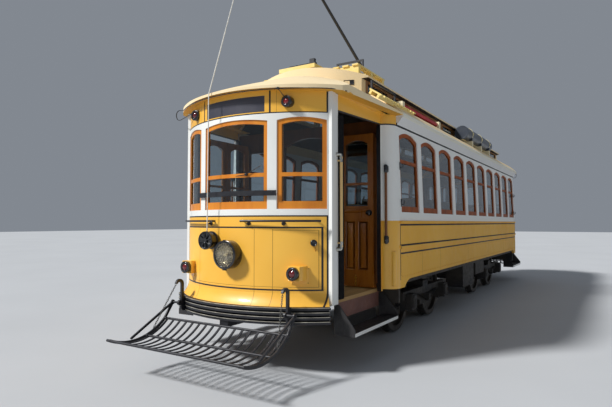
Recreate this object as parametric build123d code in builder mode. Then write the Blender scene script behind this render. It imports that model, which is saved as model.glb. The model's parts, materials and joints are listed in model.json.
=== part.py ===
"""A double-ended wooden tram of the early 1900s, with bowed ends and a raised roof deck.

The car stands along Y with its front end at -Y. Z is up and starts at the lowest point of
the wheel flanges, so the car stands on its wheels at Z = 0. Both ends are alike: the far
end is the front end turned half a turn about Z. All sizes are in millimetres.
"""

import os
from math import asin, atan2, cos, degrees, hypot, radians, sin, sqrt

from build123d import *

os.makedirs("parts", exist_ok=True)

# Body shell
body_half_length = 4000
body_half_width = 1270
wall_thickness = 55
wall_bottom = 838
belt_height = 1541
eave_height = 2795
wall_top = eave_height - 120
wall_lean = 38
end_gusset_depth = 88
end_gusset_length = 390
moulding_bottom = 1212
moulding_height = 41
moulding_proud = 14
drip_height = 24
drip_proud = 20

# Side windows
window_count = 10
window_pitch = 800
window_width = 650
window_sill = 108
window_spring = wall_top - belt_height - 105
window_apex = window_spring + 65
sash_thickness = 34
sash_setback = 14
sash_stile = 46
sash_bottom_rail = 72
sash_mid_rail = 40
sash_mid_height = 710
sash_top_rail = 46
glass_thickness = 6

# Bowed ends
nose_radius = 1454
nose_setback = 98
shell_thickness = 24
corner_post_inner_x = 967
corner_post_width = 42
corner_post_front_y = 1180
corner_post_back_y = 1050
centre_post_x = 475
apron_bottom = 690
apron_flare_top = 815
apron_flare_out = 62
sill_bottom = belt_height + 57
sill_top = sill_bottom + 64
end_window_spring = wall_top - 107
end_window_apex = wall_top - 77
header_top = wall_top - 35
centre_window_half = 425
side_window_inner = 519
side_window_outer = 958
sign_half_width = 395
sign_bottom = header_top + 22
sign_top = sign_bottom + 164
sign_depth = 10

# Floors and platforms
saloon_floor_top = 980
floor_thickness = 40
platform_floor_top = 735
platform_half_width = 985
end_beam_depth = 120

# Doors
door_closed_x = platform_half_width
door_leaf_width = 450
door_leaf_thickness = 30
door_hinge_y = body_half_length + 30
door_bottom = platform_floor_top + 12
door_top = wall_top - 75
door_gap = 3
door_barrel_radius = 7.9
fold_pin_out = 2.5
fold_pin_radius = 3.2
door_stile = 75
door_muntin = 43
door_panel_low = 204
door_panel_high = 794
door_panel_depth = 8
door_light_low = 977
door_light_middle = 1232
door_light_bar = 30
door_light_spring = 1731
door_light_apex = 1780

# Roof
eave_half_width = 1330
eave_thickness = 22
roof_thickness = 36
deck_half_width = 830
deck_foot = eave_height + 330
deck_middle = ((eave_half_width + deck_half_width) / 2 + 40, eave_height + 197)
walk_slope = 33
walkway_x = eave_half_width - 160
walk_board_thickness = 18
walk_rail_x = walkway_x - 50
walk_rail_z = deck_foot - 3
roof_bar_x = eave_half_width - 300
deck_wall_top = deck_foot + 165
cornice_half_width = deck_half_width + 70
cornice_height = deck_wall_top + 12
cornice_thickness = 22
crown_height = cornice_height + 173
hood_crown = crown_height - 60
nose_eave_rise = 90
nose_eave_radius = nose_radius + 86
hood_shoulder_x = 1120
hood_rim = 110
deck_nose_out = 320
vent_width = 640
vent_bottom = deck_foot + 30
vent_top = deck_wall_top - 18

# Running gear
truck_centre = 2250
wheelbase = 1470
tread_radius = 420
flange_radius = 445
wheel_inner_x = 692
tread_width = 98
flange_width = 30
axle_radius = 65
journal_radius = 50
journal_x = 950
journal_end_x = 1010
running_clearance = 3
journal_clearance = 0.3
frame_beam_width = 80
centre_plate_radius = 150
truck_top = 700
body_plate_gap = 0.3
kingpin_radius = 32
kingpin_clearance = 1

# Underframe
side_sill_width = 60
underframe_bottom = 780
centre_sill_x = 130
centre_sill_width = 60

# Steps
step_outer_x = 1222
step_front_y = body_half_length + 1100
step_back_y = body_half_length - 45
step_top = 425
step_thickness = 40
seat_gap = 0.3
hanger_thickness = 14

# Current collection
pole_pivot_y = 1600
pole_pivot_z = crown_height + 200
pole_length = 3900
pole_angle_raised = 26
pole_angle_stowed = -1
pole_butt_radius = 28
pole_tip_radius = 14
pole_sides = 24

# Slatted scoops and the gooseneck brackets that carry them
scoop_pivot_y = body_half_length + 1577
scoop_pivot_z = 632
scoop_rear_y = body_half_length + 1692
scoop_rear_z = 472
scoop_front_y = body_half_length + 2385
scoop_front_z = 358
scoop_middle_y = body_half_length + 1950
scoop_middle_z = 331
scoop_dip_y = body_half_length + 1985
scoop_dip_z = 318
stay_foot_y = body_half_length + 2134
stay_foot_z = 335
scoop_half_width = 870
side_bar_x = 820
side_bar_thickness = 16
side_bar_height = 30
stay_height = 22
pivot_eye_radius = 26
slat_count = 17
slat_span = 770
slat_width = 24
slat_thickness = 10
scoop_tube_radius = 13
pivot_pin_radius = 12
pivot_clearance = 0.3
bracket_x = 715
bracket_thickness = 24
hook_top = belt_height - 645
hook_tip_y = body_half_length + 1640
chain_radius = 6
rope_radius = 6
rope_gap = 0.4
catcher_x = -250
catcher_z = belt_height - 206
catcher_radius = 97

# Lamps and rails on the ends
headlight_radius = 150
headlight_z = belt_height - 351
tail_lamp_x = 728
tail_lamp_z = belt_height - 523
tail_lamp_size = 150
marker_lamp_radius = 60
marker_lamp_x = 630
marker_lamp_z = sign_bottom + 88
rail_radius = 11
rail_out = 45
guard_bottom = sill_top + 135
guard_height = 54
grab_pole_radius = 15
grab_pole_low = belt_height - 266
grab_pole_high = belt_height + 659
drawbar_z = apron_bottom - 200

# Boards, tank and handrails on the roof
board_top = crown_height + 50
board_thickness = 20
end_board_thickness = 50
tank_radius = 130
tank_end_y = 1880
tank_length = 2080

nose_y = -(body_half_length + nose_setback)
nose_axis = Axis((0, nose_y, 0), (0, 0, 1))
lean_angle = degrees(atan2(wall_lean, wall_top - belt_height))
axle_z = flange_radius
corner_half_angle = degrees(asin(corner_post_inner_x / nose_radius))


def nose_plane(angle):
    """Upright plane through the axis of the bowed end, at an angle from straight ahead."""
    turn = radians(angle)
    return Plane(
        origin=(0, nose_y, 0),
        x_dir=(sin(turn), -cos(turn), 0),
        z_dir=(-cos(turn), -sin(turn), 0),
    )


def bowed_ring(inner, outer, bottom, top, half_angle):
    """Adds an arc of wall between two radii about the axis of the bowed end."""
    with BuildSketch(nose_plane(-half_angle)) as section:
        with Locations(((inner + outer) / 2, (bottom + top) / 2)):
            Rectangle(outer - inner, top - bottom)
    revolve(section.sketch, axis=nose_axis, revolution_arc=2 * half_angle)


def cut_round_nose(radius, bottom, top):
    """Cuts away what lies inside the bowed end, so that fittings seat on its face."""
    with Locations((0, nose_y, (bottom + top) / 2)):
        Cylinder(radius, top - bottom, mode=Mode.SUBTRACT)


def arched_outline(left, right, bottom, spring, apex):
    """Draws a window outline with a flat sill and a low arched head in the open sketch."""
    with BuildLine() as outline:
        Polyline((left, spring), (left, bottom), (right, bottom), (right, spring))
        ThreePointArc((right, spring), ((left + right) / 2, apex), (left, spring))
    make_face(outline.edges())


def nose_edge(x, radius):
    """The Y of the bowed end at a distance from the centre line."""
    return nose_y - sqrt(radius**2 - x**2)


# The soffit plane rises from the side eaves to the nose
soffit_run = nose_eave_radius + nose_setback
soffit_slope = atan2(nose_eave_rise, soffit_run)
soffit = Plane(
    origin=(0, -body_half_length, eave_height),
    x_dir=(1, 0, 0),
    z_dir=(0, sin(soffit_slope), cos(soffit_slope)),
)

# Side walls
wall_sections = [
    (body_half_width, wall_bottom),
    (body_half_width, belt_height),
    (body_half_width - wall_lean, wall_top),
    (body_half_width - wall_lean - wall_thickness, wall_top),
    (body_half_width - wall_thickness, belt_height),
    (body_half_width - wall_thickness, wall_bottom),
]
window_centres = [
    window_pitch * (number - (window_count - 1) / 2) for number in range(window_count)
]
upper_wall = Plane(
    origin=(body_half_width, 0, belt_height),
    x_dir=(0, 1, 0),
    z_dir=(cos(radians(lean_angle)), 0, sin(radians(lean_angle))),
)

with BuildPart() as side_wall_right:
    with BuildSketch(Plane.XZ):
        with BuildLine():
            Polyline(*wall_sections, close=True)
        make_face()
    extrude(amount=body_half_length, both=True)
    with BuildSketch(Plane.YZ.offset(body_half_width - wall_thickness)):
        for end in (-1, 1):
            corner = end * body_half_length
            inner = end * (body_half_length - end_gusset_length)
            with BuildLine():
                Polyline(
                    (inner, wall_bottom),
                    (corner, wall_bottom),
                    (corner, wall_bottom - end_gusset_depth),
                    (end * (body_half_length - 150), wall_bottom - end_gusset_depth),
                )
                ThreePointArc(
                    (end * (body_half_length - 150), wall_bottom - end_gusset_depth),
                    (end * (body_half_length - 235), wall_bottom - 30),
                    (inner, wall_bottom),
                )
            make_face()
    extrude(amount=wall_thickness)
    with BuildSketch(Plane.XZ):
        with Locations((body_half_width + moulding_proud / 2, moulding_bottom + moulding_height / 2)):
            Rectangle(moulding_proud, moulding_height)
        with Locations((body_half_width + drip_proud / 2, belt_height - drip_height / 2)):
            Rectangle(drip_proud, drip_height)
    extrude(amount=body_half_length, both=True)
    with BuildSketch(upper_wall.offset(drip_proud)):
        for centre in window_centres:
            arched_outline(
                centre - window_width / 2,
                centre + window_width / 2,
                window_sill,
                window_spring,
                window_apex,
            )
    extrude(amount=-(wall_thickness + 2 * drip_proud), mode=Mode.SUBTRACT)
side_wall_right.part.label = "side_wall_right"
export_step(side_wall_right.part, "parts/side_wall_right.step")

with BuildPart() as side_wall_left:
    add(side_wall_right.part.mirror(Plane.YZ))
side_wall_left.part.label = "side_wall_left"
export_step(side_wall_left.part, "parts/side_wall_left.step")

# Wooden sashes with a mid rail, and their glass
with BuildPart() as sashes_right:
    with BuildSketch(upper_wall.offset(-sash_setback)):
        for centre in window_centres:
            arched_outline(
                centre - window_width / 2,
                centre + window_width / 2,
                window_sill,
                window_spring,
                window_apex,
            )
    extrude(amount=-sash_thickness)
    with BuildSketch(upper_wall.offset(-sash_setback)):
        for centre in window_centres:
            left = centre - window_width / 2 + sash_stile
            right = centre + window_width / 2 - sash_stile
            low = window_sill + sash_bottom_rail
            with Locations(((left + right) / 2, (low + sash_mid_height) / 2)):
                Rectangle(right - left, sash_mid_height - low)
            arched_outline(
                left,
                right,
                sash_mid_height + sash_mid_rail,
                window_spring - sash_top_rail,
                window_apex - sash_top_rail,
            )
    extrude(amount=-sash_thickness, mode=Mode.SUBTRACT)
sashes_right.part.label = "sashes_right"
export_step(sashes_right.part, "parts/sashes_right.step")

with BuildPart() as side_glass:
    with BuildSketch(upper_wall.offset(-sash_setback - (sash_thickness - glass_thickness) / 2)):
        for centre in window_centres:
            left = centre - window_width / 2 + sash_stile
            right = centre + window_width / 2 - sash_stile
            low = window_sill + sash_bottom_rail
            with Locations(((left + right) / 2, (low + sash_mid_height) / 2)):
                Rectangle(right - left, sash_mid_height - low)
            arched_outline(
                left,
                right,
                sash_mid_height + sash_mid_rail,
                window_spring - sash_top_rail,
                window_apex - sash_top_rail,
            )
    extrude(amount=-glass_thickness)
    mirror(about=Plane.YZ)
side_glass.part.label = "side_glass"
export_step(side_glass.part, "parts/side_glass.step")

with BuildPart() as sashes_left:
    add(sashes_right.part.mirror(Plane.YZ))
sashes_left.part.label = "sashes_left"
export_step(sashes_left.part, "parts/sashes_left.step")

def deck_height(x):
    """Height of the curved lower deck at a distance from the centre line."""
    deck_edge = (eave_half_width, eave_height + eave_thickness)
    (ax, az), (bx, bz), (cx, cz) = deck_edge, deck_middle, (deck_half_width, deck_foot)
    double_area = 2 * (ax * (bz - cz) + bx * (cz - az) + cx * (az - bz))
    a, b, c = (ax**2 + az**2), (bx**2 + bz**2), (cx**2 + cz**2)
    centre_x = (a * (bz - cz) + b * (cz - az) + c * (az - bz)) / double_area
    centre_z = (a * (cx - bx) + b * (ax - cx) + c * (bx - ax)) / double_area
    return centre_z + sqrt(hypot(ax - centre_x, az - centre_z) ** 2 - (x - centre_x) ** 2)


# Roof over the saloon: lower decks, glazed deck walls and crown
crown_rise = crown_height - cornice_height - cornice_thickness
with BuildPart() as roof_main:
    with BuildSketch(Plane.XZ) as roof_section:
        with BuildLine():
            shell_x = body_half_width - wall_lean
            outer = Polyline(
                (shell_x - wall_thickness, wall_top),
                (shell_x, wall_top),
                (eave_half_width - 14, eave_height - 12),
                (eave_half_width, eave_height),
                (eave_half_width, eave_height + eave_thickness),
            )
            ThreePointArc(
                (eave_half_width, eave_height + eave_thickness),
                deck_middle,
                (deck_half_width, deck_foot),
            )
            Polyline(
                (deck_half_width, deck_foot),
                (deck_half_width, deck_wall_top),
                (cornice_half_width, cornice_height),
                (cornice_half_width, cornice_height + cornice_thickness),
            )
            ThreePointArc(
                (cornice_half_width, cornice_height + cornice_thickness),
                (0, crown_height),
                (-cornice_half_width, cornice_height + cornice_thickness),
            )
            Polyline(
                (-cornice_half_width, cornice_height + cornice_thickness),
                (-cornice_half_width, cornice_height),
                (-deck_half_width, deck_wall_top),
                (-deck_half_width, deck_foot),
            )
            ThreePointArc(
                (-deck_half_width, deck_foot),
                (-deck_middle[0], deck_middle[1]),
                (-eave_half_width, eave_height + eave_thickness),
            )
            Polyline(
                (-eave_half_width, eave_height + eave_thickness),
                (-eave_half_width, eave_height),
                (-eave_half_width + 14, eave_height - 12),
                (-shell_x, wall_top),
                (-shell_x + wall_thickness, wall_top),
                (-shell_x + wall_thickness, eave_height - 20),
            )
            ThreePointArc(
                (-shell_x + wall_thickness, eave_height - 20),
                (-1000, 2992),
                (-deck_half_width + roof_thickness, deck_foot - roof_thickness),
            )
            Line(
                (-deck_half_width + roof_thickness, deck_foot - roof_thickness),
                (-deck_half_width + roof_thickness, deck_wall_top + 2),
            )
            ThreePointArc(
                (-deck_half_width + roof_thickness, deck_wall_top + 2),
                (0, crown_height - roof_thickness),
                (deck_half_width - roof_thickness, deck_wall_top + 2),
            )
            Line(
                (deck_half_width - roof_thickness, deck_wall_top + 2),
                (deck_half_width - roof_thickness, deck_foot - roof_thickness),
            )
            ThreePointArc(
                (deck_half_width - roof_thickness, deck_foot - roof_thickness),
                (1000, 2992),
                (shell_x - wall_thickness, eave_height - 20),
            )
            Line(
                (shell_x - wall_thickness, eave_height - 20),
                (shell_x - wall_thickness, wall_top),
            )
        make_face()
    extrude(amount=body_half_length, both=True)
    with BuildSketch(Plane.YZ):
        for centre in window_centres:
            with Locations((centre, (vent_bottom + vent_top) / 2)):
                Rectangle(vent_width, vent_top - vent_bottom)
    extrude(amount=deck_half_width + 1, both=True, mode=Mode.SUBTRACT)
roof_main.part.label = "roof_main"
export_step(roof_main.part, "parts/roof_main.step")

# Filled shape of the roof, for cutting the feet of what stands on it
with BuildPart() as roof_envelope:
    with BuildSketch(Plane.XZ):
        with BuildLine():
            Polyline(
                (-eave_half_width, eave_height + eave_thickness),
                (-eave_half_width, eave_height),
                (eave_half_width, eave_height),
                (eave_half_width, eave_height + eave_thickness),
            )
            ThreePointArc(
                (eave_half_width, eave_height + eave_thickness),
                deck_middle,
                (deck_half_width, deck_foot),
            )
            Polyline(
                (deck_half_width, deck_foot),
                (deck_half_width, deck_wall_top),
                (cornice_half_width, cornice_height),
                (cornice_half_width, cornice_height + cornice_thickness),
            )
            ThreePointArc(
                (cornice_half_width, cornice_height + cornice_thickness),
                (0, crown_height),
                (-cornice_half_width, cornice_height + cornice_thickness),
            )
            Polyline(
                (-cornice_half_width, cornice_height + cornice_thickness),
                (-cornice_half_width, cornice_height),
                (-deck_half_width, deck_wall_top),
                (-deck_half_width, deck_foot),
            )
            ThreePointArc(
                (-deck_half_width, deck_foot),
                (-deck_middle[0], deck_middle[1]),
                (-eave_half_width, eave_height + eave_thickness),
            )
        make_face()
    extrude(amount=body_half_length, both=True)

with BuildPart() as deck_glass:
    with BuildSketch(Plane.YZ.offset(deck_half_width - roof_thickness + 12)):
        for centre in window_centres:
            with Locations((centre, (vent_bottom + vent_top) / 2)):
                Rectangle(vent_width, vent_top - vent_bottom)
    extrude(amount=glass_thickness)
    mirror(about=Plane.YZ)
deck_glass.part.label = "deck_glass"
export_step(deck_glass.part, "parts/deck_glass.step")


def hood_body(inset, drop):
    """The domed hood as a solid: plan outline, side arch and nose dome met together."""
    with BuildPart() as plan:
        with BuildSketch(Plane.XY.offset(eave_height - 100)):
            shoulder_y = nose_edge(hood_shoulder_x, nose_eave_radius)
            with BuildLine():
                Polyline(
                    (hood_shoulder_x - inset, shoulder_y + inset / 2),
                    (eave_half_width - inset, -body_half_length),
                    (-eave_half_width + inset, -body_half_length),
                    (-hood_shoulder_x + inset, shoulder_y + inset / 2),
                )
                ThreePointArc(
                    (-hood_shoulder_x + inset, shoulder_y + inset / 2),
                    (0, nose_y - nose_eave_radius + inset),
                    (hood_shoulder_x - inset, shoulder_y + inset / 2),
                )
            make_face()
        extrude(amount=crown_height - eave_height)
        with BuildSketch(nose_plane(0)):
            with BuildLine():
                Polyline(
                    (nose_eave_radius + 60, 0),
                    (0, 0),
                    (0, hood_crown - drop),
                )
                Spline(
                    (0, hood_crown - drop),
                    (762, eave_height + 410 - drop),
                    (1300, eave_height + 215 - drop),
                    (nose_eave_radius + 60, eave_height + 85 - drop),
                    tangents=[(1, -0.1), (1, -0.55)],
                )
                Line((nose_eave_radius + 60, eave_height + 85 - drop), (nose_eave_radius + 60, 0))
            make_face()
        revolve(axis=nose_axis, revolution_arc=360, mode=Mode.INTERSECT)
        with BuildSketch(Plane.XZ.offset(body_half_length)):
            with BuildLine():
                Polyline(
                    (-eave_half_width, eave_height + eave_thickness - drop),
                    (-eave_half_width, 0),
                    (eave_half_width, 0),
                    (eave_half_width, eave_height + eave_thickness - drop),
                )
                Spline(
                    (eave_half_width, eave_height + eave_thickness - drop),
                    (deck_half_width, deck_foot - drop),
                    (0, hood_crown - drop),
                    (-deck_half_width, deck_foot - drop),
                    (-eave_half_width, eave_height + eave_thickness - drop),
                )
            make_face()
        extrude(amount=nose_eave_radius + nose_setback, mode=Mode.INTERSECT)
        split(bisect_by=soffit, keep=Keep.TOP)
    return plan.part


hood_solid = hood_body(0, 0)
hood_hollow = hood_body(hood_rim, roof_thickness)

with BuildPart() as deck_nose:
    with BuildSketch(Plane.XZ.offset(body_half_length)):
        with BuildLine():
            ThreePointArc(
                (cornice_half_width, cornice_height + cornice_thickness),
                (0, crown_height),
                (-cornice_half_width, cornice_height + cornice_thickness),
            )
            Polyline(
                (-cornice_half_width, cornice_height + cornice_thickness),
                (-cornice_half_width, cornice_height),
                (-deck_half_width, deck_wall_top),
                (-deck_half_width, deck_foot),
                (deck_half_width, deck_foot),
                (deck_half_width, deck_wall_top),
                (cornice_half_width, cornice_height),
                (cornice_half_width, cornice_height + cornice_thickness),
            )
        make_face()
    extrude(amount=deck_nose_out)
    with BuildSketch(Plane.XY.offset(cornice_height)):
        with BuildLine():
            Polyline(
                (cornice_half_width, -body_half_length - 60),
                (cornice_half_width, -body_half_length),
                (-cornice_half_width, -body_half_length),
                (-cornice_half_width, -body_half_length - 60),
            )
            ThreePointArc(
                (-cornice_half_width, -body_half_length - 60),
                (0, -body_half_length - deck_nose_out),
                (cornice_half_width, -body_half_length - 60),
            )
        make_face()
    extrude(amount=crown_height, both=True, mode=Mode.INTERSECT)

with BuildPart() as hoods:
    add(hood_solid)
    add(deck_nose.part)
    add(hood_hollow, mode=Mode.SUBTRACT)
    add(hoods.part.rotate(Axis.Z, 180))
hoods.part.label = "hoods"
export_step(hoods.part, "parts/hoods.step")

# Curved aprons with a flared foot
with BuildPart() as aprons:
    with BuildSketch(nose_plane(-corner_half_angle)):
        with BuildLine():
            Polyline(
                (nose_radius, apron_flare_top),
                (nose_radius, sill_bottom),
                (nose_radius - shell_thickness, sill_bottom),
                (nose_radius - shell_thickness, apron_bottom),
                (nose_radius + apron_flare_out, apron_bottom),
            )
            ThreePointArc(
                (nose_radius + apron_flare_out, apron_bottom),
                (nose_radius + apron_flare_out * 0.32, (apron_bottom + apron_flare_top) / 2),
                (nose_radius, apron_flare_top),
            )
        make_face()
    revolve(axis=nose_axis, revolution_arc=2 * corner_half_angle)
    add(aprons.part.rotate(Axis.Z, 180))
aprons.part.label = "aprons"
export_step(aprons.part, "parts/aprons.step")

# Window frames of the bowed ends, with the corner posts that run from foot to hood
with BuildPart() as end_frames:
    bowed_ring(nose_radius - 50, nose_radius, sill_bottom, header_top, corner_half_angle)
    with BuildSketch(Plane.XZ.offset(body_half_length + nose_setback)):
        arched_outline(
            -centre_window_half, centre_window_half, sill_top, end_window_spring, end_window_apex
        )
        for side in (-1, 1):
            edges = sorted((side * side_window_inner, side * side_window_outer))
            arched_outline(*edges, sill_top, end_window_spring, end_window_apex)
    extrude(amount=2 * nose_radius, mode=Mode.SUBTRACT)
    for side in (-1, 1):
        post_depth = corner_post_front_y - corner_post_back_y
        with Locations(
            (
                side * (corner_post_inner_x + corner_post_width / 2),
                -body_half_length - (corner_post_front_y + corner_post_back_y) / 2,
                (apron_bottom + eave_height + nose_eave_rise) / 2,
            )
        ):
            Box(corner_post_width, post_depth, eave_height + nose_eave_rise - apron_bottom)
    split(bisect_by=soffit, keep=Keep.BOTTOM)
    add(end_frames.part.rotate(Axis.Z, 180))
end_frames.part.label = "end_frames"
export_step(end_frames.part, "parts/end_frames.step")

# Letterboards over the end windows, with the blank sign recess
with BuildPart() as sign_recess:
    bowed_ring(nose_radius - sign_depth, nose_radius + 5, sign_bottom, sign_top, corner_half_angle)
    with Locations((0, nose_y - nose_radius, (sign_bottom + sign_top) / 2)):
        Box(2 * sign_half_width, nose_radius, sign_top - sign_bottom, mode=Mode.INTERSECT)

with BuildPart() as letterboards:
    bowed_ring(nose_radius - 30, nose_radius, header_top, eave_height + nose_eave_rise, corner_half_angle)
    add(sign_recess.part, mode=Mode.SUBTRACT)
    split(bisect_by=soffit, keep=Keep.BOTTOM)
    add(letterboards.part.rotate(Axis.Z, 180))
letterboards.part.label = "letterboards"
export_step(letterboards.part, "parts/letterboards.step")

# Sashes and glass of the bowed ends
end_stile = 42
end_glass_low = 1741
end_rail_bottom = 1994
end_rail_top = 2034
end_glass_top = 2560


def end_light_outlines(inset, low, spring, apex):
    """Draws the three end windows, smaller by an inset at each side, in the open sketch."""
    arched_outline(-centre_window_half + inset, centre_window_half - inset, low, spring, apex)
    for side in (-1, 1):
        edges = sorted((side * (side_window_inner + inset), side * (side_window_outer - inset)))
        arched_outline(*edges, low, spring, apex)


with BuildPart() as end_sashes:
    bowed_ring(nose_radius - 46, nose_radius - 12, sill_top, header_top, corner_half_angle)
    with BuildSketch(Plane.XZ.offset(body_half_length + nose_setback)):
        end_light_outlines(0, sill_top, end_window_spring, end_window_apex)
    extrude(amount=2 * nose_radius, mode=Mode.INTERSECT)
    with BuildSketch(Plane.XZ.offset(body_half_length + nose_setback)):
        end_light_outlines(end_stile, end_rail_top, end_window_spring - end_stile, end_window_apex - end_stile)
        end_light_outlines(end_stile, end_glass_low, end_rail_bottom - 1, end_rail_bottom)
    extrude(amount=2 * nose_radius, mode=Mode.SUBTRACT)
    add(end_sashes.part.rotate(Axis.Z, 180))
end_sashes.part.label = "end_sashes"
export_step(end_sashes.part, "parts/end_sashes.step")

with BuildPart() as end_glass:
    bowed_ring(nose_radius - 32, nose_radius - 26, sill_top, header_top, corner_half_angle)
    with BuildSketch(Plane.XZ.offset(body_half_length + nose_setback)):
        end_light_outlines(end_stile, end_rail_top, end_window_spring - end_stile, end_window_apex - end_stile)
        end_light_outlines(end_stile, end_glass_low, end_rail_bottom - 1, end_rail_bottom)
    extrude(amount=2 * nose_radius, mode=Mode.INTERSECT)
    add(end_glass.part.rotate(Axis.Z, 180))
end_glass.part.label = "end_glass"
export_step(end_glass.part, "parts/end_glass.step")

# Ribbed buffers under the aprons
with BuildPart() as anticlimbers:
    rib_count = 4
    rib_height = 26
    rib_out = 118
    buffer_bottom = 525
    rib_pitch = (apron_bottom - 2 - buffer_bottom - rib_height) / (rib_count - 1)
    with BuildSketch(nose_plane(-corner_half_angle)):
        with Locations((nose_radius + 8, (buffer_bottom + apron_bottom - 2) / 2)):
            Rectangle(76, apron_bottom - 2 - buffer_bottom)
        for rib in range(rib_count):
            with Locations((nose_radius + rib_out / 2, buffer_bottom + rib_height / 2 + rib * rib_pitch)):
                Rectangle(rib_out, rib_height)
    revolve(axis=nose_axis, revolution_arc=2 * corner_half_angle)
    add(anticlimbers.part.rotate(Axis.Z, 180))
anticlimbers.part.label = "anticlimbers"
export_step(anticlimbers.part, "parts/anticlimbers.step")

# Underframe: sills, bolsters, platform beams and the round centre plates
end_sill_y = body_half_length - 84
buffer_inner = nose_radius - 30
beam_bottom = apron_bottom - 130
beam_top = apron_bottom + 4
with BuildPart() as nose_beams:
    bowed_ring(buffer_inner - end_beam_depth, buffer_inner, beam_bottom, beam_top, corner_half_angle)
    add(nose_beams.part.rotate(Axis.Z, 180))

with BuildPart() as underframe:
    sill_depth = saloon_floor_top - floor_thickness - underframe_bottom
    sill_mid = underframe_bottom + sill_depth / 2
    sill_x = body_half_width - wall_thickness - side_sill_width / 2
    for side in (-1, 1):
        with Locations((side * sill_x, 0, sill_mid)):
            Box(side_sill_width, 2 * end_sill_y, sill_depth)
        with Locations((side * centre_sill_x, 0, sill_mid)):
            Box(centre_sill_width, 2 * end_sill_y, sill_depth)
    for place in (-1000, 0, 1000):
        with Locations((0, place, sill_mid)):
            Box(2 * sill_x, 80, sill_depth)
    for end in (-1, 1):
        with Locations((0, end * truck_centre, sill_mid)):
            Box(2 * sill_x, 240, sill_depth)
        with Locations((0, end * truck_centre, (truck_top + underframe_bottom) / 2 + body_plate_gap / 2)):
            Cylinder(centre_plate_radius, underframe_bottom - truck_top - body_plate_gap)
        with Locations((0, end * truck_centre, truck_top - 70)):
            Cylinder(kingpin_radius, 160)
        with Locations((0, end * (end_sill_y - 25), (beam_bottom + sill_mid + sill_depth / 2) / 2)):
            Box(2 * (sill_x + side_sill_width / 2), 50, sill_mid + sill_depth / 2 - beam_bottom)
        with Locations((0, end * (end_sill_y + 700), (beam_bottom + beam_top) / 2)):
            for side in (-1, 1):
                with Locations((side * 600, 0, 0), (side * centre_sill_x, 0, 0)):
                    Box(centre_sill_width, 1400, beam_top - beam_bottom)
    add(nose_beams.part)
underframe.part.label = "underframe"
export_step(underframe.part, "parts/underframe.step")

with BuildPart() as floors:
    with Locations((0, 0, saloon_floor_top - floor_thickness / 2)):
        Box(2 * (body_half_width - wall_thickness - 1), 2 * (body_half_length - 50), floor_thickness)
    with BuildSketch(Plane.XY.offset(platform_floor_top - floor_thickness)):
        inner_radius = nose_radius - shell_thickness - 1
        for end in (-1, 1):
            edge_y = nose_edge(platform_half_width - 20, inner_radius)
            with BuildLine():
                Polyline(
                    (platform_half_width - 20, -end * edge_y),
                    (platform_half_width - 20, end * (body_half_length + 1050)),
                    (platform_half_width, end * (body_half_length + 1050)),
                    (platform_half_width, end * (end_sill_y + 1)),
                    (-platform_half_width, end * (end_sill_y + 1)),
                    (-platform_half_width, end * (body_half_length + 1050)),
                    (-platform_half_width + 20, end * (body_half_length + 1050)),
                    (-platform_half_width + 20, -end * edge_y),
                )
                ThreePointArc(
                    (-platform_half_width + 20, -end * edge_y),
                    (0, -end * (nose_y - inner_radius)),
                    (platform_half_width - 20, -end * edge_y),
                )
            make_face()
    extrude(amount=floor_thickness)
floors.part.label = "floors"
export_step(floors.part, "parts/floors.step")

# Risers under the platform edges
with BuildPart() as risers:
    for side in (-1, 1):
        for end in (-1, 1):
            with Locations((side * (platform_half_width - 8), end * (body_half_length + 510), 610)):
                Box(16, 1060, 170)
risers.part.label = "risers"
export_step(risers.part, "parts/risers.step")

# Folding-step boards on their hangers
with BuildPart() as steps:
    with BuildSketch(Plane.XY.offset(step_top - step_thickness)):
        with Locations(((platform_half_width + 45 + step_outer_x) / 2, -(step_front_y + step_back_y) / 2)):
            Rectangle(step_outer_x - platform_half_width - 45, step_front_y - step_back_y)
    extrude(amount=step_thickness)
    for place in (step_front_y, step_back_y + hanger_thickness):
        with BuildSketch(Plane.XZ.offset(place - hanger_thickness)):
            with BuildLine():
                Polyline(
                    (platform_half_width, apron_bottom - seat_gap),
                    (platform_half_width + 60, apron_bottom - seat_gap),
                    (step_outer_x, step_top + 30),
                    (step_outer_x, step_top - step_thickness),
                    (platform_half_width, step_top - step_thickness),
                    close=True,
                )
            make_face()
        extrude(amount=hanger_thickness)
    mirror(about=Plane.YZ)
    add(steps.part.rotate(Axis.Z, 180))
steps.part.label = "steps"
export_step(steps.part, "parts/steps.step")

# Curved corner panels and doorposts between platform doorway and body side
with BuildPart() as corner_panels:
    panel_thickness = 25
    post_outer_x = 1100
    post_y = body_half_length + 150
    for bottom, top, low_shift, high_shift in (
        (wall_bottom - end_gusset_depth, belt_height, 0, 0),
        (belt_height, wall_top, 0, wall_lean),
    ):
        for height, shift in ((bottom, low_shift), (top, high_shift)):
            with BuildSketch(Plane.XY.offset(height)):
                outer_x = body_half_width - shift
                with BuildLine():
                    ThreePointArc(
                        (post_outer_x, -post_y),
                        (outer_x - 48, -body_half_length - 105),
                        (outer_x, -body_half_length),
                    )
                    Line((outer_x, -body_half_length), (outer_x - panel_thickness, -body_half_length))
                    ThreePointArc(
                        (outer_x - panel_thickness, -body_half_length),
                        (outer_x - 68, -body_half_length - 86),
                        (post_outer_x, -post_y + panel_thickness),
                    )
                    Line((post_outer_x, -post_y + panel_thickness), (post_outer_x, -post_y))
                make_face()
        loft()
    with Locations((post_outer_x - 25, -post_y + 6, (725 + wall_top) / 2)):
        Box(50, 44, wall_top - 725)
    mirror(about=Plane.YZ)
    add(corner_panels.part.rotate(Axis.Z, 180))
corner_panels.part.label = "corner_panels"
export_step(corner_panels.part, "parts/corner_panels.step")

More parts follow.
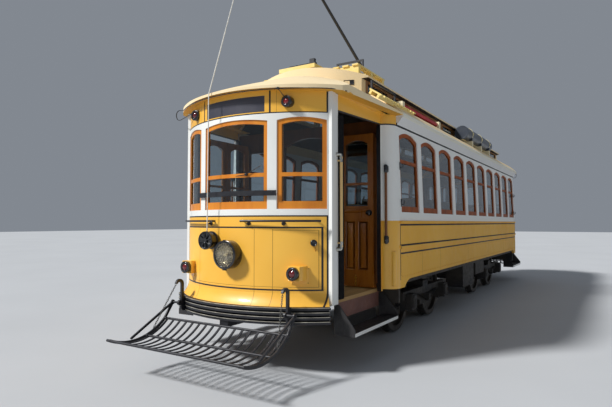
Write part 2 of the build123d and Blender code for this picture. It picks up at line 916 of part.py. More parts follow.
# Header boards over the doorways
with BuildPart() as door_headers:
    corner_back = body_half_length + corner_post_back_y
    corner_x = corner_post_inner_x + corner_post_width
    with BuildSketch(Plane.XY.offset(wall_top)):
        with BuildLine():
            Polyline(
                (corner_x, -corner_back),
                (post_outer_x, -post_y),
                (post_outer_x, -post_y + panel_thickness),
                (corner_x - 30, -corner_back),
                close=True,
            )
        make_face()
        with BuildLine():
            outer_x = body_half_width - wall_lean
            ThreePointArc(
                (post_outer_x, -post_y),
                (outer_x - 48, -body_half_length - 105),
                (outer_x, -body_half_length),
            )
            Line((outer_x, -body_half_length), (outer_x - panel_thickness, -body_half_length))
            ThreePointArc(
                (outer_x - panel_thickness, -body_half_length),
                (outer_x - 68, -body_half_length - 86),
                (post_outer_x, -post_y + panel_thickness),
            )
            Line((post_outer_x, -post_y + panel_thickness), (post_outer_x, -post_y))
        make_face()
    extrude(amount=eave_height + nose_eave_rise - wall_top)
    split(bisect_by=soffit, keep=Keep.BOTTOM)
    mirror(about=Plane.YZ)
    add(door_headers.part.rotate(Axis.Z, 180))
door_headers.part.label = "door_headers"
export_step(door_headers.part, "parts/door_headers.step")

# Bulkheads between saloon and platforms, each with a doorway and two lights
with BuildPart() as bulkheads:
    inner_low = body_half_width - wall_thickness - 1
    inner_high = inner_low - wall_lean
    doorway_half_width = 380
    doorway_spring = wall_top - 135
    with BuildSketch(Plane.XZ.offset(body_half_length - 50)):
        with BuildLine():
            Polyline(
                (-inner_low, saloon_floor_top),
                (inner_low, saloon_floor_top),
                (inner_low, belt_height),
                (inner_high, wall_top),
                (inner_high, eave_height - 22),
                (-inner_high, eave_height - 22),
                (-inner_high, wall_top),
                (-inner_low, belt_height),
                close=True,
            )
        make_face()
        with BuildLine():
            Polyline(
                (-doorway_half_width, doorway_spring),
                (-doorway_half_width, saloon_floor_top),
                (doorway_half_width, saloon_floor_top),
                (doorway_half_width, doorway_spring),
            )
            ThreePointArc(
                (doorway_half_width, doorway_spring),
                (0, wall_top - 35),
                (-doorway_half_width, doorway_spring),
            )
        make_face(mode=Mode.SUBTRACT)
        for side in (-1, 1):
            with Locations((side * 740, wall_top - 555)):
                Rectangle(500, 760, mode=Mode.SUBTRACT)
    extrude(amount=50)
    for side in (-1, 1):
        with Locations((side * 1020, -body_half_length - 14, (700 + door_top) / 2 + 20)):
            Box(60, 28, door_top - 660)
    add(bulkheads.part.rotate(Axis.Z, 180))
bulkheads.part.label = "bulkheads"
export_step(bulkheads.part, "parts/bulkheads.step")

# Front jambs of the doorways
with BuildPart() as door_jambs:
    jamb_back = door_hinge_y + 2 * door_leaf_width + 14
    jamb_front = body_half_length + corner_post_back_y
    for side in (-1, 1):
        for end in (-1, 1):
            with Locations(
                (side * 1000, end * (jamb_back + jamb_front) / 2, (platform_floor_top + door_top + 40) / 2)
            ):
                Box(42, jamb_front - jamb_back, door_top + 40 - platform_floor_top)
door_jambs.part.label = "door_jambs"
export_step(door_jambs.part, "parts/door_jambs.step")

# Two-leaf folding doors; the hinge line is the local origin of each leaf
with BuildPart() as leaf_pattern:
    leaf_height = door_top - door_bottom
    with Locations((door_leaf_thickness / 2, -door_leaf_width / 2, leaf_height / 2)):
        Box(door_leaf_thickness, door_leaf_width, leaf_height)
    panel_width = (door_leaf_width - 2 * door_stile - door_muntin) / 2
    for across in (-1, 1):
        for face_x in (0, door_leaf_thickness):
            with Locations(
                (
                    face_x,
                    -door_leaf_width / 2 + across * (panel_width + door_muntin) / 2,
                    (door_panel_low + door_panel_high) / 2,
                )
            ):
                Box(
                    2 * door_panel_depth,
                    panel_width,
                    door_panel_high - door_panel_low,
                    mode=Mode.SUBTRACT,
                )
    with BuildSketch(Plane.YZ):
        with Locations((-door_leaf_width / 2, (door_light_low + door_light_middle) / 2)):
            Rectangle(door_leaf_width - 2 * door_stile, door_light_middle - door_light_low)
        arched_outline(
            door_stile - door_leaf_width,
            -door_stile,
            door_light_middle + door_light_bar,
            door_light_spring,
            door_light_apex,
        )
    extrude(amount=door_leaf_thickness, mode=Mode.SUBTRACT)

leaf_one_place = Location((door_closed_x, -door_hinge_y - door_gap, door_bottom))
fold_x = door_closed_x + door_leaf_thickness + fold_pin_out
fold_y = -door_hinge_y - door_gap - door_leaf_width - fold_pin_out
leaf_two_place = Location((door_closed_x, fold_y - 0.8, door_bottom))
hinge_place = Location((door_closed_x - 3, -door_hinge_y, door_bottom))

with BuildPart() as leaf_one:
    add(leaf_pattern.part.moved(leaf_one_place))
    with Locations((door_closed_x - 3, -door_hinge_y, door_bottom + leaf_height / 2)):
        Cylinder(door_barrel_radius, leaf_height - 100)

with BuildPart() as leaf_two:
    add(leaf_pattern.part.moved(leaf_two_place))
    with Locations((fold_x, fold_y, door_bottom + leaf_height / 2)):
        Cylinder(fold_pin_radius, leaf_height - 100)

hinge_line = Axis((door_closed_x - 3, -door_hinge_y, 0), (0, 0, 1))
fold_line = Axis((fold_x, fold_y, 0), (0, 0, 1))
leaf_two_open = leaf_two.part.rotate(fold_line, 180).rotate(hinge_line, -90)
leaf_one_open = leaf_one.part.rotate(hinge_line, -90)
door_leaves = {
    "front_right": (leaf_one_open, leaf_two_open),
    "front_left": (leaf_one.part.mirror(Plane.YZ), leaf_two.part.mirror(Plane.YZ)),
    "rear_left": (leaf_one.part.rotate(Axis.Z, 180), leaf_two.part.rotate(Axis.Z, 180)),
    "rear_right": (leaf_one.part.mirror(Plane.XZ), leaf_two.part.mirror(Plane.XZ)),
}
for place, leaves in door_leaves.items():
    for number, leaf in enumerate(leaves, start=1):
        with BuildPart() as door_leaf:
            add(leaf)
        door_leaf.part.label = f"door_{place}_{number}"
        export_step(door_leaf.part, f"parts/door_{place}_{number}.step")

# Lamps, rope catchers, rails and hooks on the ends
with BuildPart() as headlights:
    with BuildSketch(Plane.XZ.offset(body_half_length + 1500)):
        with Locations((0, headlight_z)):
            Circle(headlight_radius)
    extrude(amount=150)
    with BuildSketch(Plane.XZ.offset(body_half_length + 1650)):
        with Locations((0, headlight_z)):
            Circle(headlight_radius - 12)
    extrude(amount=22, taper=20)
    cut_round_nose(nose_radius, headlight_z - 200, headlight_z + 200)
    add(headlights.part.rotate(Axis.Z, 180))
headlights.part.label = "headlights"
export_step(headlights.part, "parts/headlights.step")

with BuildPart() as end_lamps:
    for side in (-1, 1):
        with BuildSketch(Plane.XZ.offset(body_half_length + 1300)):
            with Locations((side * tail_lamp_x, tail_lamp_z)):
                Rectangle(tail_lamp_size, tail_lamp_size)
        extrude(amount=160)
        with BuildSketch(Plane.XZ.offset(body_half_length + 1460)):
            with Locations((side * tail_lamp_x, tail_lamp_z)):
                Circle(tail_lamp_size / 2 - 7)
        extrude(amount=42)
    cut_round_nose(nose_radius, tail_lamp_z - 100, tail_lamp_z + 100)
    for side in (-1, 1):
        with BuildSketch(Plane.XZ.offset(body_half_length + 1350)):
            with Locations((side * marker_lamp_x, marker_lamp_z)):
                Circle(marker_lamp_radius)
        extrude(amount=115)
    cut_round_nose(nose_radius, marker_lamp_z - 100, marker_lamp_z + 100)
    add(end_lamps.part.rotate(Axis.Z, 180))
end_lamps.part.label = "end_lamps"
export_step(end_lamps.part, "parts/end_lamps.step")

with BuildPart() as rope_catchers:
    with BuildSketch(Plane.XZ.offset(body_half_length + 1500)):
        with Locations((catcher_x, catcher_z)):
            Circle(catcher_radius / 2)
    extrude(amount=60)
    with BuildSketch(Plane.XZ.offset(body_half_length + 1560)):
        with Locations((catcher_x, catcher_z)):
            Circle(catcher_radius)
    extrude(amount=120)
    cut_round_nose(nose_radius, catcher_z - 150, catcher_z + 150)
    add(rope_catchers.part.rotate(Axis.Z, 180))
rope_catchers.part.label = "rope_catchers"
export_step(rope_catchers.part, "parts/rope_catchers.step")

with BuildPart() as guard_feet:
    for side in (-1, 1):
        with Locations(
            (side * centre_post_x, nose_edge(centre_post_x, nose_radius) - 10, guard_bottom + guard_height / 2)
        ):
            Box(40, 30, guard_height - 4)
    cut_round_nose(nose_radius, guard_bottom - 50, guard_bottom + guard_height + 50)

with BuildPart() as end_rails:
    rail_z = belt_height - 1
    for start, finish in ((6, 38.5), (-38.5, -8.5)):
        with BuildSketch(nose_plane(start)):
            with Locations((nose_radius + rail_out, rail_z)):
                Circle(rail_radius)
        revolve(axis=nose_axis, revolution_arc=finish - start)
        for angle in (start + 1, finish - 1):
            with BuildSketch(Plane(nose_plane(angle).origin, x_dir=(0, 0, 1), z_dir=nose_plane(angle).x_dir)):
                with Locations((rail_z, 0)):
                    Circle(rail_radius)
            extrude(amount=nose_radius + rail_out)
    cut_round_nose(nose_radius, rail_z - 100, rail_z + 100)
    guard_half_angle = 21
    bowed_ring(nose_radius + 18, nose_radius + 28, guard_bottom, guard_bottom + guard_height, guard_half_angle)
    add(guard_feet.part)
    for side in (-1, 1):
        grab_poles = (
            (platform_half_width + 62, -(body_half_length + corner_post_back_y)),
            (body_half_width - 105, -(body_half_length + 165)),
        )
        for x, y in grab_poles:
            with Locations((side * x, y, (grab_pole_low + grab_pole_high) / 2)):
                Cylinder(grab_pole_radius, grab_pole_high - grab_pole_low)
        for height in (grab_pole_low + 40, grab_pole_high - 40):
            with Locations((side * (platform_half_width + 40), grab_poles[0][1], height)):
                Box(44, 30, 14)
            with Locations((side * grab_poles[1][0], grab_poles[1][1] + 25, height)):
                Box(24, 50, 14)
    add(corner_panels.part, mode=Mode.SUBTRACT)
    add(door_jambs.part, mode=Mode.SUBTRACT)
    add(end_frames.part, mode=Mode.SUBTRACT)
    add(end_rails.part.rotate(Axis.Z, 180))
end_rails.part.label = "end_rails"
export_step(end_rails.part, "parts/end_rails.step")

with BuildPart() as hook_brackets:
    face_y = nose_edge(bracket_x, nose_radius + rib_out)
    hook_back = -(body_half_length + 1522)
    hook_face = hook_back - 34
    hook_foot = scoop_pivot_z - 93
    for side in (-1, 1):
        with BuildSketch(Plane.YZ.offset(side * bracket_x - bracket_thickness / 2)):
            with BuildLine():
                Polyline((face_y + 30, hook_foot), (face_y + 30, apron_bottom - 2), (hook_back, apron_bottom + 10))
                Line((hook_back, apron_bottom + 10), (hook_back, hook_top - 66))
                ThreePointArc((hook_back, hook_top - 66), (hook_back - 60, hook_top), (-hook_tip_y, hook_top - 48))
                Line((-hook_tip_y, hook_top - 48), (-hook_tip_y + 24, hook_top - 52))
                ThreePointArc(
                    (-hook_tip_y + 24, hook_top - 52),
                    (hook_back - 62, hook_top - 32),
                    (hook_face, hook_top - 70),
                )
                Line((hook_face, hook_top - 70), (hook_face, hook_foot + 21))
                Polyline((hook_face, hook_foot + 21), (hook_face + 21, hook_foot), (face_y + 30, hook_foot))
            make_face()
            with Locations((-scoop_pivot_y, scoop_pivot_z)):
                Circle(28)
        extrude(amount=bracket_thickness)
        pin_end = side_bar_x + side_bar_thickness
        with Locations((side * (bracket_x + pin_end) / 2, -scoop_pivot_y, scoop_pivot_z)):
            Cylinder(pivot_pin_radius, pin_end - bracket_x, rotation=(0, 90, 0))
    cut_round_nose(nose_radius + rib_out, 500, 700)
    add(hook_brackets.part.rotate(Axis.Z, 180))
hook_brackets.part.label = "hook_brackets"
export_step(hook_brackets.part, "parts/hook_brackets.step")

# Coupling bars under the buffers
with BuildPart() as drawbars:
    with Locations((0, -(body_half_length + 1440), drawbar_z)):
        Box(110, 420, 60)
    with Locations((0, -(body_half_length + 1340), drawbar_z + 50)):
        Box(160, 120, 40)
    with Locations((0, -(body_half_length + 1590), drawbar_z)):
        Cylinder(20, 80, mode=Mode.SUBTRACT)
    add(drawbars.part.rotate(Axis.Z, 180))
drawbars.part.label = "drawbars"
export_step(drawbars.part, "parts/drawbars.step")

# Boards, rails and tank on the roof
with BuildPart() as bearers:
    for place in (-(body_half_length - 50), -3575, -3200):
        with Locations((0, place, crown_height - 45)):
            Box(1460, 60, 150)
    with Locations((0, -(body_half_length + 180), crown_height - 45)):
        Box(440, 60, 150)
    for place in (-pole_pivot_y - 300, -pole_pivot_y + 300):
        with Locations((0, place, crown_height - 45)):
            Box(800, 60, 150)
    add(roof_envelope.part, mode=Mode.SUBTRACT)
    add(hoods.part, mode=Mode.SUBTRACT)

with BuildPart() as walkway:
    slope_plane = Plane(
        origin=(walkway_x, -(body_half_length - 90), deck_height(walkway_x) + 24),
        x_dir=(cos(radians(walk_slope)), 0, -sin(radians(walk_slope))),
        z_dir=(sin(radians(walk_slope)), 0, cos(radians(walk_slope))),
    )
    with BuildSketch(slope_plane):
        with GridLocations(0, 106, 1, 11):
            Rectangle(170, 60)
    extrude(amount=walk_board_thickness)
    with BuildSketch(slope_plane.offset(-40)):
        with GridLocations(110, 0, 2, 1):
            Rectangle(28, 1120)
    extrude(amount=40)
    add(roof_envelope.part, mode=Mode.SUBTRACT)
    add(hood_solid, mode=Mode.SUBTRACT)

with BuildPart() as roof_boards:
    for slat in range(11):
        with Locations((-690 + slat * 138, -3575, board_top - board_thickness / 2)):
            Box(84, 850, board_thickness)
    add(bearers.part)
    with Locations((0, -(body_half_length + 145), board_top - end_board_thickness / 2)):
        Box(540, 290, end_board_thickness)
    with Locations((0, -pole_pivot_y, board_top - board_thickness / 2)):
        Box(840, 760, board_thickness)
    add(walkway.part)
    add(roof_boards.part.rotate(Axis.Z, 180))
roof_boards.part.label = "roof_boards"
export_step(roof_boards.part, "parts/roof_boards.step")

with BuildPart() as roof_irons:
    with BuildSketch(Plane.XZ.offset(3650)):
        with Locations((450, crown_height + 197)):
            Rectangle(400, 22)
        for x in (261, 639):
            with Locations((x, crown_height + 128)):
                Rectangle(22, 156)
    extrude(amount=22)
    with Locations((75, -(body_half_length + 250), board_top + 10)):
        Box(390, 44, 20)
    with Locations((220, -(body_half_length + 250), board_top + 45)):
        Box(70, 44, 50)
    with BuildSketch(Plane.YZ.offset(walk_rail_x - 9)):
        with Locations((-(body_half_length + 105), walk_rail_z)):
            Rectangle(710, 18)
        for y in (-(body_half_length + 451), -3759):
            with Locations((y, walk_rail_z - 50)):
                Rectangle(18, 118)
    extrude(amount=18)
    with BuildSketch(slope_plane.offset(walk_board_thickness + seat_gap)):
        Rectangle(400, 1800)
    extrude(amount=-120, mode=Mode.SUBTRACT)
    add(roof_irons.part.rotate(Axis.Z, 180))
roof_irons.part.label = "roof_irons"
export_step(roof_irons.part, "parts/roof_irons.step")

with BuildPart() as roof_bar:
    bar_height = deck_height(roof_bar_x) + 44
    with Locations((roof_bar_x, -2525, bar_height)):
        Box(46, 1600, 46)
    for place in (-3325, -1725):
        with Locations((roof_bar_x, place, bar_height - 20)):
            Box(90, 80, 130)
    add(roof_envelope.part, mode=Mode.SUBTRACT)
roof_bar.part.label = "roof_bar"
export_step(roof_bar.part, "parts/roof_bar.step")

with BuildPart() as roof_tank:
    tank_z = deck_height(roof_bar_x) + 165
    with BuildSketch(Plane.XZ.offset(-tank_end_y)):
        with Locations((roof_bar_x, tank_z)):
            Circle(tank_radius)
    extrude(amount=tank_length)
    for place in (150, 900, 1650):
        with Locations((roof_bar_x, place, tank_z - 155)):
            Box(240, 60, 180)
    add(roof_envelope.part, mode=Mode.SUBTRACT)
roof_tank.part.label = "roof_tank"
export_step(roof_tank.part, "parts/roof_tank.step")

# Cross seats and driver's stands
with BuildPart() as seats:
    seat_height = saloon_floor_top + 450
    with BuildSketch(Plane.YZ.offset(330)):
        for row in range(8):
            y = window_pitch * (row - 3.5)
            with BuildLine():
                Polyline(
                    (y - 180, saloon_floor_top),
                    (y + 140, saloon_floor_top),
                    (y + 60, seat_height - 100),
                    (y + 220, seat_height - 90),
                    (y + 220, seat_height),
                    (y - 170, seat_height),
                    (y - 215, seat_height + 430),
                    (y - 265, seat_height + 430),
                    (y - 230, seat_height - 90),
                    (y - 100, seat_height - 100),
                    close=True,
                )
            make_face()
    extrude(amount=860)
    mirror(about=Plane.YZ)
seats.part.label = "seats"
export_step(seats.part, "parts/seats.step")

with BuildPart() as driver_stands:
    with BuildSketch(Plane.XY.offset(platform_floor_top)):
        with Locations((-430, -(body_half_length + 1180))):
            RectangleRounded(320, 240, 60)
    extrude(amount=880)
    with Locations((-430, -(body_half_length + 1180), platform_floor_top + 900)):
        Cylinder(95, 40)
    with Locations((430, -(body_half_length + 1200), platform_floor_top + 450)):
        Cylinder(24, 900)
    with Locations((430, -(body_half_length + 1200), platform_floor_top + 910)):
        Cylinder(140, 20)
    add(driver_stands.part.rotate(Axis.Z, 180))
driver_stands.part.label = "driver_stands"
export_step(driver_stands.part, "parts/driver_stands.step")

# Equipment slung between the trucks
with BuildPart() as underfloor_boxes:
    with Locations((1030, -430, 590)):
        Box(300, 760, 380)
    with Locations((-1030, 430, 590)):
        Box(300, 760, 380)
    with Locations((1030, 500, 660)):
        Box(280, 700, 240)
    with Locations((-1030, -450, 600)):
        Box(300, 800, 360)
underfloor_boxes.part.label = "underfloor_boxes"
export_step(underfloor_boxes.part, "parts/underfloor_boxes.step")

# Trucks
with BuildPart() as truck_front:
    centre_y = -truck_centre
    for side in (-1, 1):
        with BuildSketch(Plane.YZ.offset(side * journal_x - frame_beam_width / 2)):
            with BuildLine():
                half = wheelbase / 2
                Polyline(
                    (centre_y - half - 190, 470),
                    (centre_y - half - 190, 580),
                    (centre_y + half + 190, 580),
                    (centre_y + half + 190, 470),
                    (centre_y + half - 170, 470),
                    (centre_y + 260, 400),
                    (centre_y + 260, 330),
                    (centre_y - 260, 330),
                    (centre_y - 260, 400),
                    (centre_y - half + 170, 470),
                    close=True,
                )
            make_face()
            for axle in (-half, half):
                with Locations((centre_y + axle, axle_z)):
                    Rectangle(220, 260)
                with Locations((centre_y + axle, axle_z)):
                    Circle(journal_radius + journal_clearance, mode=Mode.SUBTRACT)
        extrude(amount=frame_beam_width)
        for axle in (-half, half):
            with Locations((side * (journal_x + frame_beam_width / 2 + 45), centre_y + axle, axle_z)):
                Box(90, 190, 210)
            with Locations((side * (journal_end_x - 10), centre_y + axle, axle_z)):
                Cylinder(
                    journal_radius + journal_clearance,
                    30,
                    rotation=(0, 90, 0),
                    mode=Mode.SUBTRACT,
                )
    with Locations((0, centre_y, 600)):
        Box(2 * journal_x + frame_beam_width, 240, 120)
    with Locations((0, centre_y, 680)):
        Cylinder(centre_plate_radius, 40)
    with Locations((0, centre_y, 640)):
        Cylinder(kingpin_radius + kingpin_clearance, 200, mode=Mode.SUBTRACT)
    for place in (-170, 170):
        with Locations((0, centre_y + place, 500)):
            Box(2 * journal_x, 60, 80)
truck_front.part.label = "truck_front"
export_step(truck_front.part, "parts/truck_front.step")

with BuildPart() as truck_rear:
    add(truck_front.part.rotate(Axis.Z, 180))
truck_rear.part.label = "truck_rear"
export_step(truck_rear.part, "parts/truck_rear.step")

with BuildPart() as motors_front:
    for place in (-1, 1):
        with Locations((0, -truck_centre + place * 410, axle_z)):
            Cylinder(205, 620, rotation=(0, 90, 0))
        with Locations((0, -truck_centre + place * 280, axle_z + 50)):
            Box(500, 160, 120)
        with Locations((0, -truck_centre + place * 610, axle_z)):
            Box(420, 180, 180)
        with Locations((0, -truck_centre + place * wheelbase / 2, axle_z)):
            Cylinder(axle_radius + running_clearance, 700, rotation=(0, 90, 0), mode=Mode.SUBTRACT)
motors_front.part.label = "motors_front"
export_step(motors_front.part, "parts/motors_front.step")

with BuildPart() as motors_rear:
    add(motors_front.part.rotate(Axis.Z, 180))
motors_rear.part.label = "motors_rear"
export_step(motors_rear.part, "parts/motors_rear.step")

axle_places = {
    "wheelset_1": -truck_centre - wheelbase / 2,
    "wheelset_2": -truck_centre + wheelbase / 2,
    "wheelset_3": truck_centre - wheelbase / 2,
    "wheelset_4": truck_centre + wheelbase / 2,
}
for name, place in axle_places.items():
    with BuildPart() as wheelset:
        with BuildSketch(Plane.XY.offset(axle_z)):
            with BuildLine():
                Polyline(
                    (0, place),
                    (journal_end_x, place),
                    (journal_end_x, place - journal_radius),
                    (wheel_inner_x + 150, place - journal_radius),
                    (wheel_inner_x + 140, place - 110),
                    (wheel_inner_x + 90, place - 125),
                    (wheel_inner_x + 80, place - 340),
                    (wheel_inner_x + flange_width + tread_width, place - 350),
                    (wheel_inner_x + flange_width + tread_width, place - tread_radius),
                    (wheel_inner_x + flange_width, place - tread_radius - 3),
                    (wheel_inner_x + flange_width - 10, place - flange_radius + 4),
                    (wheel_inner_x + flange_width / 2, place - flange_radius),
                    (wheel_inner_x, place - flange_radius + 10),
                    (wheel_inner_x, place - 350),
                    (wheel_inner_x + 50, place - 340),
                    (wheel_inner_x + 30, place - 125),
                    (wheel_inner_x, place - 110),
                    (wheel_inner_x, place - axle_radius),
                    (0, place - axle_radius),
                    close=True,
                )
            make_face()
        revolve(axis=Axis((0, place, axle_z), (1, 0, 0)))
        mirror(about=Plane.YZ)
    wheelset.part.label = name
    export_step(wheelset.part, f"parts/{name}.step")

# Trolley bases and poles
cheek_gap = 64
with BuildPart() as pole_base_front:
    with Locations((0, -pole_pivot_y, crown_height + 65)):
        Cylinder(150, 29)
    with Locations((0, -pole_pivot_y, crown_height + 95)):
        Box(220, 420, 34)
    for side in (-1, 1):
        with BuildSketch(Plane.YZ.offset(side * (cheek_gap / 2 + 10) - 10)):
            with BuildLine():
                Polyline(
                    (-pole_pivot_y - 120, crown_height + 105),
                    (-pole_pivot_y - 40, pole_pivot_z),
                    (-pole_pivot_y, pole_pivot_z + 40),
                    (-pole_pivot_y + 40, pole_pivot_z),
                    (-pole_pivot_y + 120, crown_height + 105),
                    close=True,
                )
            make_face()
        extrude(amount=20)
        with Locations((side * 84, -pole_pivot_y + 10, crown_height + 137)):
            Cylinder(26, 400, rotation=(90, 0, 0))
    with Locations((0, -pole_pivot_y, pole_pivot_z)):
        Cylinder(10, cheek_gap + 20, rotation=(0, 90, 0))
pole_base_front.part.label = "pole_base_front"
export_step(pole_base_front.part, "parts/pole_base_front.step")

with BuildPart() as pole_base_rear:
    add(pole_base_front.part.rotate(Axis.Z, 180))
pole_base_rear.part.label = "pole_base_rear"
export_step(pole_base_rear.part, "parts/pole_base_rear.step")

with BuildPart() as pole_pattern:
    with BuildSketch(Plane.XZ.offset(pole_pivot_y)):
        with Locations((0, pole_pivot_z)):
            RegularPolygon(pole_butt_radius, pole_sides)
    with BuildSketch(Plane.XZ.offset(pole_pivot_y + pole_length - 120)):
        with Locations((0, pole_pivot_z)):
            RegularPolygon(pole_tip_radius, pole_sides)
    loft()
    with Locations((0, -pole_pivot_y, pole_pivot_z)):
        Cylinder(34, 50, rotation=(0, 90, 0))
    with Locations((0, -pole_pivot_y - pole_length + 70, pole_pivot_z + 10)):
        Box(44, 120, 50)
    with Locations((0, -pole_pivot_y - pole_length, pole_pivot_z + 30)):
        Cylinder(55, 34, rotation=(0, 90, 0))
    with Locations((0, -pole_pivot_y, pole_pivot_z)):
        Cylinder(10.1, 60, rotation=(0, 90, 0), mode=Mode.SUBTRACT)

pivot_line = Axis((0, -pole_pivot_y, pole_pivot_z), (-1, 0, 0))
with BuildPart() as pole_front:
    add(pole_pattern.part.rotate(pivot_line, pole_angle_raised))
pole_front.part.label = "pole_front"
export_step(pole_front.part, "parts/pole_front.step")

with BuildPart() as pole_rear:
    add(pole_pattern.part.rotate(pivot_line, pole_angle_stowed).rotate(Axis.Z, 180))
pole_rear.part.label = "pole_rear"
export_step(pole_rear.part, "parts/pole_rear.step")

# Slatted scoops, hung on the bracket pins
def scoop_curve():
    """Draws the hollow line of the slats from front bar to rear bar in the open line."""
    ThreePointArc(
        (-scoop_front_y, scoop_front_z),
        (-scoop_dip_y, scoop_dip_z),
        (-scoop_rear_y, scoop_rear_z),
    )


with BuildPart() as scoop_front:
    with BuildSketch(Plane.YZ):
        with BuildLine():
            scoop_curve()
            offset(amount=slat_thickness / 2, side=Side.BOTH)
        make_face()
    extrude(amount=slat_width / 2, both=True)
    middle_slat = scoop_front.part
    for number in range(1, slat_count // 2 + 1):
        shift = slat_span * number / (slat_count // 2)
        add(middle_slat.moved(Location((shift, 0, 0))))
        add(middle_slat.moved(Location((-shift, 0, 0))))
    for y, z, half in (
        (-scoop_front_y, scoop_front_z, scoop_half_width),
        (-scoop_middle_y, scoop_middle_z, side_bar_x),
        (-scoop_rear_y, scoop_rear_z, side_bar_x),
    ):
        with Locations((0, y, z)):
            Cylinder(scoop_tube_radius, 2 * half, rotation=(0, 90, 0))
    for side in (-1, 1):
        with BuildSketch(Plane.YZ.offset(side * side_bar_x - side_bar_thickness / 2)):
            with BuildLine():
                scoop_curve()
                offset(amount=side_bar_height / 2, side=Side.BOTH)
            make_face()
            with BuildLine():
                Line((-scoop_rear_y, scoop_rear_z), (-scoop_pivot_y, scoop_pivot_z))
                offset(amount=side_bar_height / 2, side=Side.BOTH)
            make_face()
            with BuildLine():
                Line((-scoop_pivot_y, scoop_pivot_z), (-stay_foot_y, stay_foot_z))
                offset(amount=stay_height / 2, side=Side.BOTH)
            make_face()
            with Locations((-scoop_pivot_y, scoop_pivot_z)):
                Circle(pivot_eye_radius)
                Circle(pivot_pin_radius + pivot_clearance, mode=Mode.SUBTRACT)
        extrude(amount=side_bar_thickness)
scoop_front.part.label = "scoop_front"
export_step(scoop_front.part, "parts/scoop_front.step")

with BuildPart() as scoop_rear:
    add(scoop_front.part.rotate(Axis.Z, 180))
scoop_rear.part.label = "scoop_rear"
export_step(scoop_rear.part, "parts/scoop_rear.step")


def taut_line(points, radius):
    """Adds a tight rope or chain as straight round runs with a ball at each bend."""
    for start, finish in zip(points, points[1:]):
        run = Vector(*finish) - Vector(*start)
        with BuildSketch(Plane(origin=start, z_dir=run)) as section:
            Circle(radius)
        extrude(section.sketch, amount=run.length)
    for bend in points[1:-1]:
        with Locations(bend):
            Sphere(radius)


# Chains from the hooks to the scoops, and the pole ropes over the eaves to the catchers
chain_top = (bracket_x, -hook_tip_y + 12, hook_top - 52.5)
chain_foot = (side_bar_x, -(body_half_length + 1852), 386)
eave_point = (-232, -(body_half_length + 1648), 2892)
catcher_point = (catcher_x, -(body_half_length + 1640), catcher_z + catcher_radius + rope_gap)
tip_angle = radians(pole_angle_raised)
raised_tip = (
    0,
    -pole_pivot_y - (pole_length - 60) * cos(tip_angle),
    pole_pivot_z + (pole_length - 60) * sin(tip_angle) - 30,
)
stowed_tip = (0, -pole_pivot_y - pole_length + 60, pole_pivot_z - 110)

with BuildPart() as scoop_chains:
    taut_line((chain_top, chain_foot), chain_radius)
    mirror(about=Plane.YZ)
    add(scoop_chains.part.rotate(Axis.Z, 180))
scoop_chains.part.label = "scoop_chains"
export_step(scoop_chains.part, "parts/scoop_chains.step")

with BuildPart() as rear_rope:
    taut_line((stowed_tip, eave_point, catcher_point), rope_radius)

with BuildPart() as pole_ropes:
    taut_line((raised_tip, eave_point, catcher_point), rope_radius)
    add(rear_rope.part.rotate(Axis.Z, 180))
pole_ropes.part.label = "pole_ropes"
export_step(pole_ropes.part, "parts/pole_ropes.step")
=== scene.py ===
# %% [markdown]
# # A vintage tram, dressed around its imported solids
# The real object is a double-ended tram about 13 m long: a wooden body on two swivelling
# trucks, with bowed ends, a roof with a raised middle, trolley poles and slatted scoops.
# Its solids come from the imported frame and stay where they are. This script gives every
# one of them a finish of its own and adds the small parts that a solid leaves out.

# %% The frame
import json
import math

import bpy
from mathutils import Euler, Matrix, Vector

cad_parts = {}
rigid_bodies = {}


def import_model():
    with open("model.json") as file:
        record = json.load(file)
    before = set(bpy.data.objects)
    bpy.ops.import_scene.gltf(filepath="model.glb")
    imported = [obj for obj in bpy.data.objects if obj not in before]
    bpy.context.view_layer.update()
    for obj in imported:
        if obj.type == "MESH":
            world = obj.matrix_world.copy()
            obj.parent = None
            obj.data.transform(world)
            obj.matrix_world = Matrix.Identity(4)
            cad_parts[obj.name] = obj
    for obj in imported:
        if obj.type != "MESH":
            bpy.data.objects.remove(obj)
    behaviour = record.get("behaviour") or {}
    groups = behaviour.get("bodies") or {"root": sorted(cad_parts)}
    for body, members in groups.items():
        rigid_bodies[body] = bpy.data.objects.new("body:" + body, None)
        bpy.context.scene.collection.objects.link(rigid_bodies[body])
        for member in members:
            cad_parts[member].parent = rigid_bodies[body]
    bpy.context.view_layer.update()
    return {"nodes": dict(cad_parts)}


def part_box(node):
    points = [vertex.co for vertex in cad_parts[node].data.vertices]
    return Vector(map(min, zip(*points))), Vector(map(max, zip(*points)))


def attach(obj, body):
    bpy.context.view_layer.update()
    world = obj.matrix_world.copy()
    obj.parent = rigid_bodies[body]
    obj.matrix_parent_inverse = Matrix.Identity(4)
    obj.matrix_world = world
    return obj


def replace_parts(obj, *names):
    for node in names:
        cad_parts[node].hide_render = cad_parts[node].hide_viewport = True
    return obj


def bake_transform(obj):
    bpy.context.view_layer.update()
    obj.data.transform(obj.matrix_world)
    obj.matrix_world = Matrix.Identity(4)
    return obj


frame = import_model()
nodes = frame["nodes"]

# %% [markdown]
# ## Camera
# The photograph was taken from about head height, close to the front right corner, with a
# short lens. A camera could be placed by eye, but the place, turn and focal length here were
# worked out from the straight lines of the car, so every piece lands where the photo has it.

# %% The camera
photo_width = 612
focal_pixels = 493.08
sensor_width = 36.0

lens = bpy.data.cameras.new("viewpoint")
lens.sensor_width = sensor_width
lens.lens = focal_pixels / photo_width * sensor_width
lens.clip_end = 200.0
camera = bpy.data.objects.new("viewpoint", lens)
camera.location = (3.411, -9.530, 1.525)
camera.rotation_euler = Euler((math.radians(92.20), 0.0, math.radians(31.93)))
bpy.context.scene.collection.objects.link(camera)
bpy.context.scene.camera = camera
print("lens in mm:", round(lens.lens, 2))

